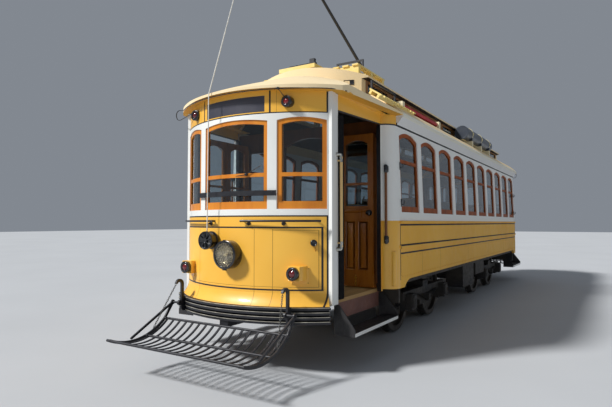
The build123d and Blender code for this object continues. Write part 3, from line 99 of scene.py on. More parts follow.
# %% [markdown]
# ## Finishes
# Paint, varnish, iron and glass are all procedural. One helper lays a patchy colour, a
# roughness that varies, and a fine bump. Painted lines are part of the paint: each line is a
# box in the car's own coordinates, and whatever surface lies in the box is painted dark.
# The car is the same on both sides and at both ends, so the boxes use distances from the middle.


# %% Swatches and nodes
def swatch(code):
    """A colour written as on a paint card, turned into the linear values that shaders use."""
    channels = [int(code[i : i + 2], 16) / 255 for i in (1, 3, 5)]
    linear = [c / 12.92 if c <= 0.04045 else ((c + 0.055) / 1.055) ** 2.4 for c in channels]
    return (*linear, 1.0)


class Mixer:
    """A new material with short ways to add and join its nodes."""

    def __init__(self, name):
        self.material = bpy.data.materials.new(name)
        self.material.use_nodes = True
        self.tree = self.material.node_tree
        self.shader = self.tree.nodes["Principled BSDF"]
        self.place = self.add("ShaderNodeTexCoord").outputs["Object"]

    def add(self, kind, **settings):
        node = self.tree.nodes.new(kind)
        for key, value in settings.items():
            setattr(node, key, value)
        return node

    def join(self, source, target):
        self.tree.links.new(source, target)

    def stretched(self, stretch):
        mapping = self.add("ShaderNodeMapping")
        mapping.inputs["Scale"].default_value = stretch
        self.join(self.place, mapping.inputs["Vector"])
        return mapping.outputs["Vector"]

    def noise(self, size, stretch=(1, 1, 1), detail=4.0):
        noise = self.add("ShaderNodeTexNoise")
        noise.inputs["Scale"].default_value = size
        noise.inputs["Detail"].default_value = detail
        self.join(self.stretched(stretch), noise.inputs["Vector"])
        return noise.outputs["Fac"]

    def math(self, operation, *values):
        node = self.add("ShaderNodeMath", operation=operation)
        for socket, value in zip(node.inputs, values):
            if isinstance(value, (int, float)):
                socket.default_value = value
            else:
                self.join(value, socket)
        return node.outputs[0]

    def mix(self, fac, one, two):
        node = self.add("ShaderNodeMix", data_type="RGBA")
        self.join(fac, node.inputs[0])
        for socket, value in ((node.inputs[6], one), (node.inputs[7], two)):
            if isinstance(value, tuple):
                socket.default_value = value
            else:
                self.join(value, socket)
        return node.outputs[2]

    def spread(self, fac, low, high, start=0.3, end=0.7):
        node = self.add("ShaderNodeMapRange")
        self.join(fac, node.inputs["Value"])
        for key, value in zip(("From Min", "From Max", "To Min", "To Max"), (start, end, low, high)):
            node.inputs[key].default_value = value
        return node.outputs["Result"]

    def distances(self, turned=False):
        """Each point's distances from the middle. Turned: X keeps its side as seen from the end."""
        split = self.add("ShaderNodeSeparateXYZ")
        self.join(self.place, split.inputs[0])
        across = self.math("ABSOLUTE", split.outputs[0])
        if turned:
            side = self.math("MULTIPLY", self.math("SIGN", split.outputs[1]), -1.0)
            across = self.math("MULTIPLY", split.outputs[0], side)
        return across, self.math("ABSOLUTE", split.outputs[1]), split.outputs[2]

    def facing_down(self):
        """1 on surfaces that look at the ground, else 0."""
        split = self.add("ShaderNodeSeparateXYZ")
        self.join(self.add("ShaderNodeNewGeometry").outputs["Normal"], split.inputs[0])
        return self.math("LESS_THAN", split.outputs[2], -0.5)

    def inside(self, boxes, turned=False):
        """1 where the surface lies in any of the boxes, else 0."""
        axes = self.distances(turned)
        total = None
        for box in boxes:
            product = None
            for axis, limits in zip(axes, box):
                if limits is None:
                    continue
                low, high = limits
                hit = self.math("COMPARE", axis, (low + high) / 2, (high - low) / 2)
                product = hit if product is None else self.math("MULTIPLY", product, hit)
            total = product if total is None else self.math("MAXIMUM", total, product)
        return total


# %% The paint and varnish helper
def finish(
    name,
    first,
    second,
    patch=1.2,
    grain=(1, 1, 1),
    rough=(0.30, 0.45),
    metal=0.0,
    coat=0.0,
    shine=0.5,
    bump=0.08,
    bump_size=45.0,
    bump_grain=None,
    layers=(),
    underside=None,
    painted_shade_inside=None,
    ridges=None,
):
    """A painted, varnished or bare surface with uneven colour, gloss and a fine bump."""
    mixer = Mixer(name)
    colour = mixer.mix(
        mixer.spread(mixer.noise(patch, grain), 0.0, 1.0), swatch(first), swatch(second)
    )
    if underside:
        colour = mixer.mix(mixer.facing_down(), colour, swatch(underside))
    if painted_shade_inside:
        # Painted shade: inside the given boxes, faces that look at the ground turn near-black brown.
        ceiling_shade = mixer.math("MULTIPLY", mixer.facing_down(), mixer.inside(painted_shade_inside))
        colour = mixer.mix(ceiling_shade, colour, swatch("#24160C"))
    for boxes, code, turned in layers:
        colour = mixer.mix(mixer.inside(boxes, turned), colour, swatch(code))
    mixer.join(colour, mixer.shader.inputs["Base Color"])
    mixer.join(
        mixer.spread(mixer.noise(patch * 6, grain), *rough), mixer.shader.inputs["Roughness"]
    )
    mixer.shader.inputs["Metallic"].default_value = metal
    mixer.shader.inputs["Coat Weight"].default_value = coat
    mixer.shader.inputs["Specular IOR Level"].default_value = shine
    mixer.shader.inputs["Coat Roughness"].default_value = 0.12
    height = mixer.noise(bump_size, bump_grain or grain, 6.0)
    if ridges:
        axis, pitch, depth = ridges
        axes = mixer.distances()
        wave = mixer.math("PINGPONG", axes[axis], pitch / 2)
        groove = mixer.spread(wave, 0.0, depth, 0.0, 0.004)
        height = mixer.math("ADD", height, groove)
    rise = mixer.add("ShaderNodeBump")
    rise.inputs["Strength"].default_value = bump
    rise.inputs["Distance"].default_value = 0.004
    mixer.join(height, rise.inputs["Height"])
    mixer.join(rise.outputs["Normal"], mixer.shader.inputs["Normal"])
    return mixer.material


def clear_glass(name, tint, rough):
    """Window glass: a clear pane with a faint tint and a little waviness."""
    mixer = Mixer(name)
    mixer.shader.inputs["Base Color"].default_value = swatch(tint)
    mixer.shader.inputs["Transmission Weight"].default_value = 1.0
    mixer.shader.inputs["IOR"].default_value = 1.5
    mixer.join(mixer.spread(mixer.noise(3.0), *rough), mixer.shader.inputs["Roughness"])
    rise = mixer.add("ShaderNodeBump")
    rise.inputs["Strength"].default_value = 0.03
    rise.inputs["Distance"].default_value = 0.01
    mixer.join(mixer.noise(2.0, (1, 1, 2)), rise.inputs["Height"])
    mixer.join(rise.outputs["Normal"], mixer.shader.inputs["Normal"])
    return mixer.material


# %% [markdown]
# ## Paint lines
# The body is yellow with thin black lines. On the dash they frame one large panel, on the
# side they run under the windows and along the middle moulding. Letterboards have one line
# under them and uprights between the panels. Ribbons of mesh would do, but lines in the
# paint stay flush with curved panels, as the real ones do.

# %% Lines and seams
line_black, white, seam_brown = "#14131A", "#EFEFEA", "#A87A22"
wide = (0.0, 1.3)
end_reach = (5.0, 6.0)
side_reach = (1.1, 1.4)
dash_lines = [
    ((0.0, 0.985), end_reach, (1.583, 1.608)),
    ((0.955, 0.972), end_reach, (0.60, 1.608)),
    ((0.0, 0.930), end_reach, (1.466, 1.482)),
    ((0.0, 0.930), end_reach, (0.838, 0.854)),
    ((0.913, 0.930), end_reach, (0.838, 1.482)),
]
dash_seams = [((x - 0.003, x + 0.003), end_reach, (0.60, 1.46)) for x in (-0.531, 0.290, 0.483)]
dash_seams += [
    ((0.890, 0.896), end_reach, (0.875, 1.446)),
    ((-0.6, 0.896), end_reach, (0.873, 0.878)),
    ((0.48, 0.896), end_reach, (1.444, 1.449)),
]
side_lines = [
    (side_reach, (0.0, 3.99), (1.486, 1.508)),
    (side_reach, (0.0, 3.99), (1.244, 1.264)),
    (side_reach, (0.0, 3.99), (1.148, 1.168)),
    (side_reach, (3.975, 3.99), (0.845, 1.508)),
]
side_seams = [
    (side_reach, (abs(y) - 0.003, abs(y) + 0.003), (0.845, 1.148)) for y in (0.8, 2.4, 3.2)
]
board_lines = [
    (wide, end_reach, (2.60, 2.652)),
    ((0.442, 0.460), end_reach, (2.60, 3.0)),
    ((0.955, 1.0), end_reach, (2.60, 3.0)),
]
sign_recess = [((0.0, 0.396), end_reach, (2.6615, 2.8265))]
board_seams = [((0.516, 0.520), end_reach, (2.652, 2.9))]
upper_side = [(side_reach, (0.0, 4.2), (1.546, 3.2))]
upper_corner = [((0.9, 1.4), (3.99, 4.2), (1.546, 3.2))]
# Painted shadow: a black strip on the inner face of the corner post, where the post casts its shadow
# into the doorway.
post_shadow_strip = [((0.9, 1.1), (4.10, 4.2), (0.0, 3.2))]
eave_soffit = [((1.19, 1.312), (0.0, 4.01), (2.60, 2.80))]
eave_foot = [((1.19, 1.245), (0.0, 4.01), (2.60, 2.712))]
eave_edge = [((1.312, 1.34), (0.0, 4.01), (2.60, 2.86))]
# Sides of the raised roof: tan-brown paint, darkened with painted shade.
deck_side_tan_shade = [((0.80, 0.845), (0.0, 3.99), (3.10, 3.291))]
header_line = [((0.9, 1.3), (4.0, 5.1), (2.60, 2.692))]
front_grab = [((0.95, 1.3), (4.9, 5.12), (1.0, 2.4))]
rear_grab = [((0.95, 1.3), (4.0, 4.3), (1.37, 2.11))]
# Painted shade: every face in the hollow under the hood, over the platform, is painted near-black
# brown.
hood_inside_shade = [((0.0, 0.9), (3.9, 5.15), (2.6, 2.93))]
# Painted shade: inside the body, the faces of the ceilings that look down are painted near-black
# brown.
ceiling_shade_boxes = [((0.0, 1.18), (0.0, 4.0), None), ((0.0, 0.97), (4.0, 5.05), None)]
bar_ends = [((0.9, 1.2), span, (2.9, 3.2)) for span in ((3.28, 3.37), (1.68, 1.77))]
tank_saddles = [((0.8, 1.3), (0.0, 2.0), (2.9, 3.083))]
print("painted lines:", len(dash_lines) + len(side_lines) + len(board_lines))

# %% [markdown]
# ## Body and roof paint
# Dash, sides and corners are a warm yellow with white above the belt, and the roof is pale
# painted canvas, dull and coarse. One material could serve them all, but each has lines of
# its own, and in the photograph the sides are duller than the dash.

# %% Body and roof paint
yellow, deep_yellow = "#F7BE4A", "#F0B33C"
paints = {
    "dash": finish(
        "dash_paint", yellow, deep_yellow, coat=0.15, rough=(0.38, 0.5),
        layers=[(dash_seams, seam_brown, True), (dash_lines, line_black, False)],
    ),
    "side": finish(
        "side_paint", yellow, deep_yellow, shine=0.3, rough=(0.5, 0.65),
        layers=[
            (upper_side, white, False), (side_seams, seam_brown, False),
            (side_lines, line_black, False),
        ],
    ),
    "corner": finish(
        "corner_paint", yellow, deep_yellow, coat=0.4,
        # painted shadow beside the door post
        layers=[(upper_corner, white, False), (post_shadow_strip, line_black, False)],
    ),
    "header": finish(
        "header_paint", yellow, deep_yellow, coat=0.4, layers=[(header_line, line_black, False)],
    ),
    "board": finish(
        "board_paint", yellow, deep_yellow, coat=0.4,
        layers=[
            (sign_recess, "#3C3B45", False), (board_seams, seam_brown, False),
            (board_lines, line_black, False),
        ],
    ),
    "yellow": finish("plain_yellow", yellow, deep_yellow, coat=0.4),
    "white": finish("white_paint", white, "#E2E2DC", coat=0.4, rough=(0.32, 0.5)),
    "cream": finish("cream_paint", "#F4E7B8", "#E8D79A", patch=3.0, rough=(0.45, 0.6), bump=0.15),
    "roof": finish(
        "roof_canvas", "#F4DFB6", "#EACF9E", patch=0.8, rough=(0.6, 0.8), bump=0.25,
        bump_size=220.0, underside="#E0A53A", painted_shade_inside=ceiling_shade_boxes,
        layers=[
            (eave_soffit, "#E4E4E2", False), (eave_foot, line_black, False),
            # deck sides: tan-brown darkened with painted shade
            (eave_edge, "#E9E6D6", False), (deck_side_tan_shade, "#94683A", False),
            # painted shade under the hood
            (hood_inside_shade, "#2E1C10", False),
        ],
    ),
    "boards": finish(
        "roof_board_paint", "#F0DA8E", "#E2C46A", patch=3.0, grain=(1, 0.3, 1),
        rough=(0.5, 0.75), bump=0.3, bump_size=80.0, bump_grain=(1, 0.1, 1),
    ),
}
print("finishes of body and roof:", len(paints))

# %% [markdown]
# ## Varnish and wood
# Sashes, doors and inside panelling are varnished wood. The grain could be drawn ring by ring,
# but a noise stretched along the bars is enough for such narrow ones. The floor is bare boards
# with a groove between them.

# %% Varnish and wood
paints |= {
    "end_sash": finish(
        "end_sash_varnish", "#E08C22", "#C87212", patch=9.0, grain=(1, 1, 0.15),
        rough=(0.30, 0.46), coat=0.25, bump=0.12, bump_size=60.0, bump_grain=(1, 1, 0.08),
    ),
    "sash": finish(
        "sash_varnish", "#A8541A", "#7E3C0E", patch=9.0, grain=(1, 1, 0.15), shine=0.2,
        rough=(0.45, 0.6), bump=0.12, bump_size=60.0, bump_grain=(1, 1, 0.08),
    ),
    "door": finish(
        "door_varnish", "#A8641A", "#84460C", patch=8.0, grain=(1, 1, 0.12),
        rough=(0.25, 0.4), coat=0.5, bump=0.12, bump_size=60.0, bump_grain=(1, 1, 0.08),
    ),
    "panelling": finish(
        "inside_panelling", "#6E3B14", "#4E280B", patch=6.0, grain=(1, 1, 0.12),
        rough=(0.3, 0.5), coat=0.3, bump=0.12, bump_size=60.0, bump_grain=(1, 1, 0.1),
    ),
    "floor": finish(
        "floor_boards", "#C09A62", "#9C7A4A", patch=5.0, grain=(1, 0.1, 1),
        rough=(0.6, 0.85), bump=0.4, ridges=(0, 0.09, 1.5),
    ),
}
print("finishes with the wood:", len(paints))

# %% [markdown]
# ## Black paint and metal
# Rails, steps and fittings are black, some glossy and some dull, the trucks are dusty iron, and
# the handles are brass. One dark metal would make them a single mass, so each has its own gloss
# and its own unevenness.

# %% Black paint and metal
paints |= {
    "black": finish("black_paint", "#17171B", "#222228", patch=4.0, rough=(0.35, 0.6), bump=0.15),
    "jamb": finish("jamb_paint", "#0A0A0C", "#121215", patch=4.0, rough=(0.6, 0.8), shine=0.1),
    "gloss_black": finish(
        "gloss_black", "#111114", "#1B1B20", patch=6.0, rough=(0.16, 0.3), coat=0.5, bump=0.06,
    ),
    "rails": finish(
        "rail_paint", "#17171B", "#222228", patch=4.0, rough=(0.3, 0.5), bump=0.1,
        layers=[(front_grab, "#E9C17E", False), (rear_grab, "#7C4A1E", False)],
    ),
    "tread_black": finish(
        "step_paint", "#1C1B1D", "#2C2A2A", patch=5.0, rough=(0.5, 0.75), bump=0.35,
        ridges=(0, 0.02, 1.2),
    ),
    "iron": finish(
        "dusty_iron", "#2A2A2C", "#4A443C", patch=3.0, rough=(0.55, 0.8), metal=0.3, bump=0.4,
        bump_size=90.0,
    ),
    "tread": finish(
        "wheel_steel", "#6B655F", "#4C463F", patch=5.0, rough=(0.35, 0.6), metal=0.9, bump=0.2,
    ),
    "bright": finish(
        "polished_metal", "#C9C7BE", "#A6A398", patch=6.0, rough=(0.12, 0.25), metal=1.0, bump=0.05,
    ),
    "brass": finish(
        "rubbed_brass", "#D9A64A", "#B27F2C", patch=6.0, rough=(0.2, 0.4), metal=0.8, bump=0.08,
    ),
}
print("finishes with the metal:", len(paints))

# %% [markdown]
# ## Lamps, roof fittings and glass
# The lamps have red or pale glass, the tank is dark blue and the bar is red, both with pale
# painted ends or saddles. The window glass is clear and slightly uneven. Panes could be plain
# see-through sheets, but real ones also mirror what is round them, so these do too.

# %% Lamps, roof fittings and glass
paints |= {
    "red_lens": finish(
        "red_lens", "#7A060E", "#420409", patch=12.0, rough=(0.06, 0.12), coat=1.0, bump=0.05,
    ),
    "lamp_glass": finish(
        "lamp_glass", "#F4E9C8", "#E6D6A8", patch=12.0, rough=(0.1, 0.2), coat=0.6, bump=0.03,
    ),
    "riser": finish("riser_paint", "#7A5246", "#64423A", patch=4.0, rough=(0.55, 0.75)),
    "red": finish(
        "bar_paint", "#C41C1E", "#A31417", patch=3.0, rough=(0.4, 0.6),
        layers=[(bar_ends, "#EFE2BC", False)],
    ),
    "tank": finish(
        "tank_paint", "#323A46", "#262D38", patch=2.0, rough=(0.35, 0.55), coat=0.3,
        layers=[(tank_saddles, "#EFE2BC", False)],
    ),
    "cane": finish(
        "woven_cane", "#B98F4E", "#94703A", patch=20.0, rough=(0.5, 0.7), bump=0.5,
        bump_size=160.0,
    ),
    "rope": finish("rope_fibre", "#E8E5DC", "#CFCBC0", patch=40.0, rough=(0.8, 0.95), bump=0.5),
    "chain": finish(
        "chain_steel", "#6E6E6C", "#4A4A48", patch=30.0, rough=(0.4, 0.6), metal=0.8, bump=0.2,
    ),
    "glass": clear_glass("window_glass", "#D4DEE2", (0.0, 0.03)),
    "lens": clear_glass("lamp_lens", "#FFFDF8", (0.0, 0.02)),
    "reflector": finish(
        "silvered_dish", "#BDB198", "#948A70", patch=8.0, rough=(0.18, 0.32), metal=0.85, bump=0.04,
    ),
    # Pale finish of the bars on the bumper ribs: a painted highlight, the glint of light along their
    # edges.
    "worn": finish("painted_glint_edge", "#D8D2C0", "#8E897C", patch=9.0, rough=(0.45, 0.65)),
}
print("finishes in all:", len(paints))

# %% [markdown]
# ## The solids get their finishes
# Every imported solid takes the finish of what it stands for. They could be named one by one,
# but listed under their finish, a look is changed for all its pieces at once.

# %% Every solid gets its finish
finishes = {
    "corner": ["corner_panels"],
    "header": ["door_headers"],
    "dash": ["aprons"],
    "board": ["letterboards"],
    "white": ["end_frames"],
    "roof": ["hoods", "roof_main"],
    "boards": ["roof_boards"],
    "sash": ["sashes_right", "sashes_left"],
    "end_sash": ["end_sashes"],
    "rails": ["end_rails"],
    "tread_black": ["steps"],
    "panelling": ["bulkheads"],
    "floor": ["floors"],
    "black": [
        "anticlimbers", "hook_brackets", "scoop_front", "scoop_rear",
        "rope_catchers", "roof_irons", "pole_base_front", "pole_base_rear", "pole_front",
        "pole_rear", "driver_stands", "end_lamps", "headlights", "drawbars",
    ],
    "jamb": ["door_jambs"],
    "iron": [
        "underframe", "truck_front", "truck_rear", "motors_front", "motors_rear",
        "underfloor_boxes",
    ],
    "tread": ["wheelset_1", "wheelset_2", "wheelset_3", "wheelset_4"],
    "riser": ["risers"],
    "red": ["roof_bar"],
    "tank": ["roof_tank"],
    "cane": ["seats"],
    "rope": ["pole_ropes"],
    "chain": ["scoop_chains"],
    "glass": ["side_glass", "end_glass", "deck_glass"],
    "side": ["side_wall_right", "side_wall_left"],
    "door": [name for name in nodes if name.startswith("door_") and name[-1] in "12"],
}
for key, names in finishes.items():
    for name in names:
        nodes[name].data.materials.clear()
        nodes[name].data.materials.append(paints[key])
left_over = sorted(set(nodes) - {name for names in finishes.values() for name in names})
print("solids without a finish:", left_over)

# %% [markdown]
# ## Working by hand
# New parts start as a primitive at their place, are shaped in edit mode and get a modifier or
# two. The helpers below only save typing: they deselect, name, apply the place into the mesh,
# pick faces by the way they face, and copy a finished part to the other side and the other
# end. A few more come where they are first needed.

# %% Directions and selecting
front = Vector((0.0, -1.0, 0.0))
up = Vector((0.0, 0.0, 1.0))
right = Vector((1.0, 0.0, 0.0))


def alone(piece):
    """Selects one piece only and makes it the active one."""
    bpy.ops.object.select_all(action="DESELECT")
    piece.select_set(True)
    bpy.context.view_layer.objects.active = piece


def applied(name):
    """Names the new piece and moves its place, turn and scale into its mesh."""
    piece = bpy.context.object
    piece.name = name
    bpy.ops.object.transform_apply(location=True, rotation=True, scale=True)
    return piece


# %% Primitives at their place
def block(name, low, high):
    """A box between two corners."""
    bpy.ops.object.select_all(action="DESELECT")
    middle = [(a + b) / 2 for a, b in zip(low, high)]
    bpy.ops.mesh.primitive_cube_add(size=1.0, location=middle)
    bpy.context.object.scale = [b - a for a, b in zip(low, high)]
    return applied(name)


def drum(name, place, radius, depth, toward=up, sides=32):
    """A cylinder with its middle at a place and its axis along a direction."""
    bpy.ops.object.select_all(action="DESELECT")
    turn = Vector(toward).to_track_quat("Z", "Y").to_euler()
    bpy.ops.mesh.primitive_cylinder_add(
        vertices=sides, radius=radius, depth=depth, location=place, rotation=turn
    )
    return applied(name)


def ball(name, place, radii, segments=24):
    """A sphere stretched to three radii."""
    bpy.ops.object.select_all(action="DESELECT")
    bpy.ops.mesh.primitive_uv_sphere_add(
        segments=segments, ring_count=segments // 2, radius=1.0, location=place
    )
    bpy.context.object.scale = radii
    piece = applied(name)
    bpy.ops.object.shade_smooth()
    return piece


# %% Shaping in edit mode
def facing(toward):
    """A test for faces that look along a direction."""
    return lambda centre, normal: normal.dot(toward) > 0.9


def pick(piece, test):
    """Opens the piece in edit mode with only the faces selected that pass the test."""
    alone(piece)
    bpy.ops.object.mode_set(mode="EDIT")
    bpy.ops.mesh.select_mode(type="FACE")
    bpy.ops.mesh.select_all(action="DESELECT")
    bpy.ops.object.mode_set(mode="OBJECT")
    for face in piece.data.polygons:
        face.select = bool(test(face.center, face.normal))
    bpy.ops.object.mode_set(mode="EDIT")


def inset(width, rise=0.0):
    """Insets the selected faces and lifts or sinks what is inside."""
    bpy.ops.mesh.inset(thickness=width, depth=rise)


def pull(offset):
    """Extrudes the selected faces by an offset."""
    bpy.ops.mesh.extrude_region_move(TRANSFORM_OT_translate={"value": tuple(offset)})


def leave():
    """Back to object mode."""
    bpy.ops.object.mode_set(mode="OBJECT")


def stepped(piece, toward, *steps):
    """Insets the faces that look one way again and again, each time by a width and a rise."""
    pick(piece, facing(toward))
    for width, rise in steps:
        inset(width, rise)
    leave()
    return piece


# %% Shading, rounding and joining
def shaded(piece):
    """Smooths the shading where faces meet at a blunt angle."""
    alone(piece)
    bpy.ops.object.shade_smooth_by_angle(angle=math.radians(35))
    return piece


def softened(piece, width=0.003, segments=2):
    """Rounds the edges with a bevel and smooths the shading."""
    alone(piece)
    bevel = piece.modifiers.new("edges", "BEVEL")
    bevel.width = width
    bevel.segments = segments
    bevel.limit_method = "ANGLE"
    bevel.angle_limit = math.radians(35)
    bpy.ops.object.modifier_apply(modifier=bevel.name)
    bpy.ops.object.shade_smooth_by_angle(angle=math.radians(35))
    return piece


def joined(name, pieces):
    """Makes one piece of several."""
    alone(pieces[0])
    for piece in pieces:
        piece.select_set(True)
    if len(pieces) > 1:
        bpy.ops.object.join()
    bpy.context.object.name = name
    return bpy.context.object


# %% Copies on the other side and at the other end
def unparented(piece):
    """Frees a piece from its body, with its place kept."""
    alone(piece)
    bpy.ops.object.parent_clear(type="CLEAR_KEEP_TRANSFORM")
    return piece


def moved(piece, way, name):
    """A copy of a piece carried by a matrix, mirrored ones with their faces turned back."""
    alone(piece)
    bpy.ops.object.duplicate()
    copy = unparented(bpy.context.object)
    copy.matrix_world = way
    bpy.ops.object.transform_apply(location=True, rotation=True, scale=True)
    if way.determinant() < 0:
        bpy.ops.object.mode_set(mode="EDIT")
        bpy.ops.mesh.select_all(action="SELECT")
        bpy.ops.mesh.normals_make_consistent(inside=False)
        bpy.ops.object.mode_set(mode="OBJECT")
    copy.name = name
    return copy


def repeated(piece, mirrored=True, turned=True):
    """The same piece again on the other side and at the other end, joined to the first."""
    if mirrored:
        piece = joined(piece.name, [piece, moved(piece, Matrix.Scale(-1, 4, (1, 0, 0)), "far")])
    if turned:
        piece = joined(piece.name, [piece, moved(piece, Matrix.Rotation(math.pi, 4, "Z"), "far")])
    return piece


# %% Dressing a piece
def dressed(piece, paint, body="car_body"):
    """Gives a finished piece its paint and the body that it rides on."""
    piece.data.materials.clear()
    piece.data.materials.append(paints[paint])
    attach(piece, body)
    return piece


# %% [markdown]
# ## Lamps on the ends
# The ends are bowed about an upright axis, so a place on them is found from its distance to
# the middle. The large headlight is a black drum with a silvered dish behind clear glass. The
# dish could be a half sphere, but insetting the front face again and again, each time a
# little deeper, gives the flat rim and deep bowl of the real one.

# %% Places on the bowed end
nose_centre_y = -4.098
nose_radius = 1.454


def on_nose(x, z, out=0.0):
    """A place on the bowed front, and the way the surface looks there."""
    angle = math.asin(x / nose_radius)
    toward = Vector((math.sin(angle), -math.cos(angle), 0.0))
    return Vector((0.0, nose_centre_y, z)) + toward * (nose_radius + out), toward


print("middle of the bowed front:", on_nose(0.0, 1.0)[0])

# %% Headlight
lamp_z = 1.190
lamp_radius = 0.149
lamp_face_y = -5.655
shell = drum("headlight_shell", (0, lamp_face_y + 0.058, lamp_z), lamp_radius, 0.116, front, 48)
pick(shell, facing(front))
inset(0.020, 0.004)
inset(0.006, -0.004)
pull((0, 0.074, 0))
leave()
dressed(softened(shell, 0.003), "gloss_black")

dish = drum("headlight_dish", (0, lamp_face_y + 0.042, lamp_z), 0.1220, 0.064, front, 48)
bowl = [(0.005, 0.0), (0.010, -0.014), (0.020, -0.013), (0.026, -0.010), (0.028, -0.004)]
dressed(shaded(stepped(dish, front, *bowl)), "reflector")

lens_glass = drum("headlight_lens", (0, lamp_face_y + 0.006, lamp_z), 0.1215, 0.005, front, 48)
dome = [(0.016, 0.005), (0.028, 0.004), (0.032, 0.002)]
dressed(shaded(stepped(lens_glass, front, *dome)), "lens")

bulb = ball("headlight_bulb", (0, lamp_face_y + 0.034, lamp_z), (0.016, 0.022, 0.016))
dressed(bulb, "lamp_glass")

latch = block("headlight_latch", (-0.013, -5.662, 1.328), (0.013, -5.630, 1.345))
softened(latch, 0.003)
hinge = drum("headlight_hinge", (0, -5.645, 1.038), 0.008, 0.05, right, 12)
latch = joined("headlight_latch", [latch, softened(hinge, 0.002)])
dressed(latch, "gloss_black")

for piece in (shell, dish, lens_glass, bulb, latch):
    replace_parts(repeated(piece, mirrored=False), "headlights")

# %% [markdown]
# ## Rope drum
# The drum beside the headlight reels in the trolley rope. Its cast cover has a rim, eight ribs
# and a hub. One loop makes the ribs, each a bar that is narrowed at its outer end.


# %% Rings
def ring(name, place, major, minor, toward=up, segments=32, sides=10):
    """A torus about a direction."""
    bpy.ops.object.select_all(action="DESELECT")
    turn = Vector(toward).to_track_quat("Z", "Y").to_euler()
    bpy.ops.mesh.primitive_torus_add(
        major_radius=major, minor_radius=minor, major_segments=segments, minor_segments=sides,
        location=place, rotation=turn,
    )
    piece = applied(name)
    bpy.ops.object.shade_smooth()
    return piece


# %% Rope drum
reel_x, reel_z, reel_radius = -0.25, 1.335, 0.0965
reel_middle = (reel_x, -5.571, reel_z)
rim_narrowing = 0.86
reel = drum("rope_reel", reel_middle, reel_radius, 0.016, front, 48)
pick(reel, facing(front))
for move, scale in ((0.0, rim_narrowing), (0.068, 1.0), (0.0, 1 / rim_narrowing), (0.026, 1.0)):
    pull((0, -move, 0))
    bpy.ops.transform.resize(value=(scale, 1, scale), center_override=reel_middle)
inset(0.012)
inset(0.004, -0.008)
leave()
softened(reel, 0.0025)

rib_centre, rib_start, rib_end = Vector((reel_x, -5.676, reel_z)), 0.022, 0.078
ribs = []
for step in range(8):
    turn = math.radians(45 * step + 12)
    along = Vector((math.cos(turn), 0, math.sin(turn)))
    bpy.ops.object.select_all(action="DESELECT")
    place = rib_centre + along * (rib_start + rib_end) / 2
    bpy.ops.mesh.primitive_cube_add(size=1.0, location=place, rotation=(0, -turn, 0))
    bpy.context.object.scale = (rib_end - rib_start, 0.008, 0.011)
    rib = applied("reel_rib")
    pick(rib, facing(along))
    tip = tuple(rib_centre + along * rib_end)
    bpy.ops.transform.resize(value=(0.5, 1, 0.5), center_override=tip)
    leave()
    ribs.append(rib)

hub = drum("reel_hub", (reel_x, -5.672, reel_z), 0.027, 0.016, front, 24)
softened(stepped(hub, front, (0.008, 0.0), (0.003, -0.004)), 0.002)
stub = drum("reel_stub", (reel_x, -5.545, reel_z), 0.045, 0.06, front, 24)
stepped(stub, -front, (0.01, 0.002))
eye = ring("reel_eye", (reel_x, -5.640, reel_z + 0.094), 0.009, 0.003, right, 16, 8)
reel = dressed(joined("rope_reel", [reel, hub, stub, eye] + ribs), "gloss_black")
reel = repeated(reel, mirrored=False)
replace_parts(reel, "rope_catchers")
print("reel sides:", len(reel.data.polygons))

# %% [markdown]
# ## Tail lamps and marker lamps
# Each tail lamp sits on a yellow box that is screwed to the dash by a flange bent round it.
# The red glass is a flattened ball in a black ring. The markers on the letterboard are the
# same lamp without a box.


# %% Plates, studs and copies of a pattern
def plate(name, place, toward, size):
    """A flat box whose front looks along a level direction. Size is width, depth, height."""
    bpy.ops.object.select_all(action="DESELECT")
    turn = Vector(toward).to_track_quat("-Y", "Z").to_euler()
    bpy.ops.mesh.primitive_cube_add(size=1.0, location=place, rotation=turn)
    bpy.context.object.scale = size
    return applied(name)


def stud(name, radius, height):
    """A domed bolt head or rivet at the origin, facing up."""
    piece = drum(name, (0, 0, height / 2), radius, height, up, 8)
    pick(piece, facing(up))
    inset(radius * 0.35, height * 0.5)
    leave()
    bpy.ops.object.shade_smooth_by_angle(angle=math.radians(60))
    return piece


def copied(piece, place, toward):
    """A copy with its own mesh, for a pattern that was made at the origin facing up."""
    alone(piece)
    bpy.ops.object.duplicate()
    copy = bpy.context.object
    copy.location = place
    copy.rotation_euler = Vector(toward).to_track_quat("Z", "Y").to_euler()
    bpy.ops.object.transform_apply(location=True, rotation=True, scale=True)
    return copy


def scattered(name, pattern, places):
    """Copies a pattern to places, each with the way it faces, and joins the copies."""
    copies = [copied(pattern, place, toward) for place, toward in places]
    alone(pattern)
    bpy.ops.object.delete()
    return joined(name, copies)


# %% Tail lamp boxes
tail_x, tail_z, tail_half = 0.728, 1.018, 0.070
flange_x, flange_z = 0.738, 0.992
box_face_y = -5.458
box = block(
    "tail_lamp_box",
    (tail_x - tail_half, box_face_y, tail_z - tail_half),
    (tail_x + tail_half, -5.30, tail_z + tail_half),
)
softened(stepped(box, front, (0.006, 0.0), (0.002, -0.002)), 0.003)
place, toward = on_nose(flange_x, flange_z, 0.002)
flange = plate("tail_lamp_flange", place, toward, (0.176, 0.006, 0.168))
stepped(flange, toward, (0.010, 0.002))
box = dressed(joined("tail_lamp_boxes", [box, flange]), "yellow")
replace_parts(repeated(box), "end_lamps")

corners = [(flange_x + a * 0.067, flange_z + b * 0.073) for a in (-1, 1) for b in (-1, 1)]
screw_places = [on_nose(x, z, 0.007) for x, z in corners]
studs = scattered("tail_lamp_screws", stud("screw", 0.006, 0.003), screw_places)
repeated(dressed(studs, "brass"))
print("tail lamp boxes made, each with", len(corners), "screws")


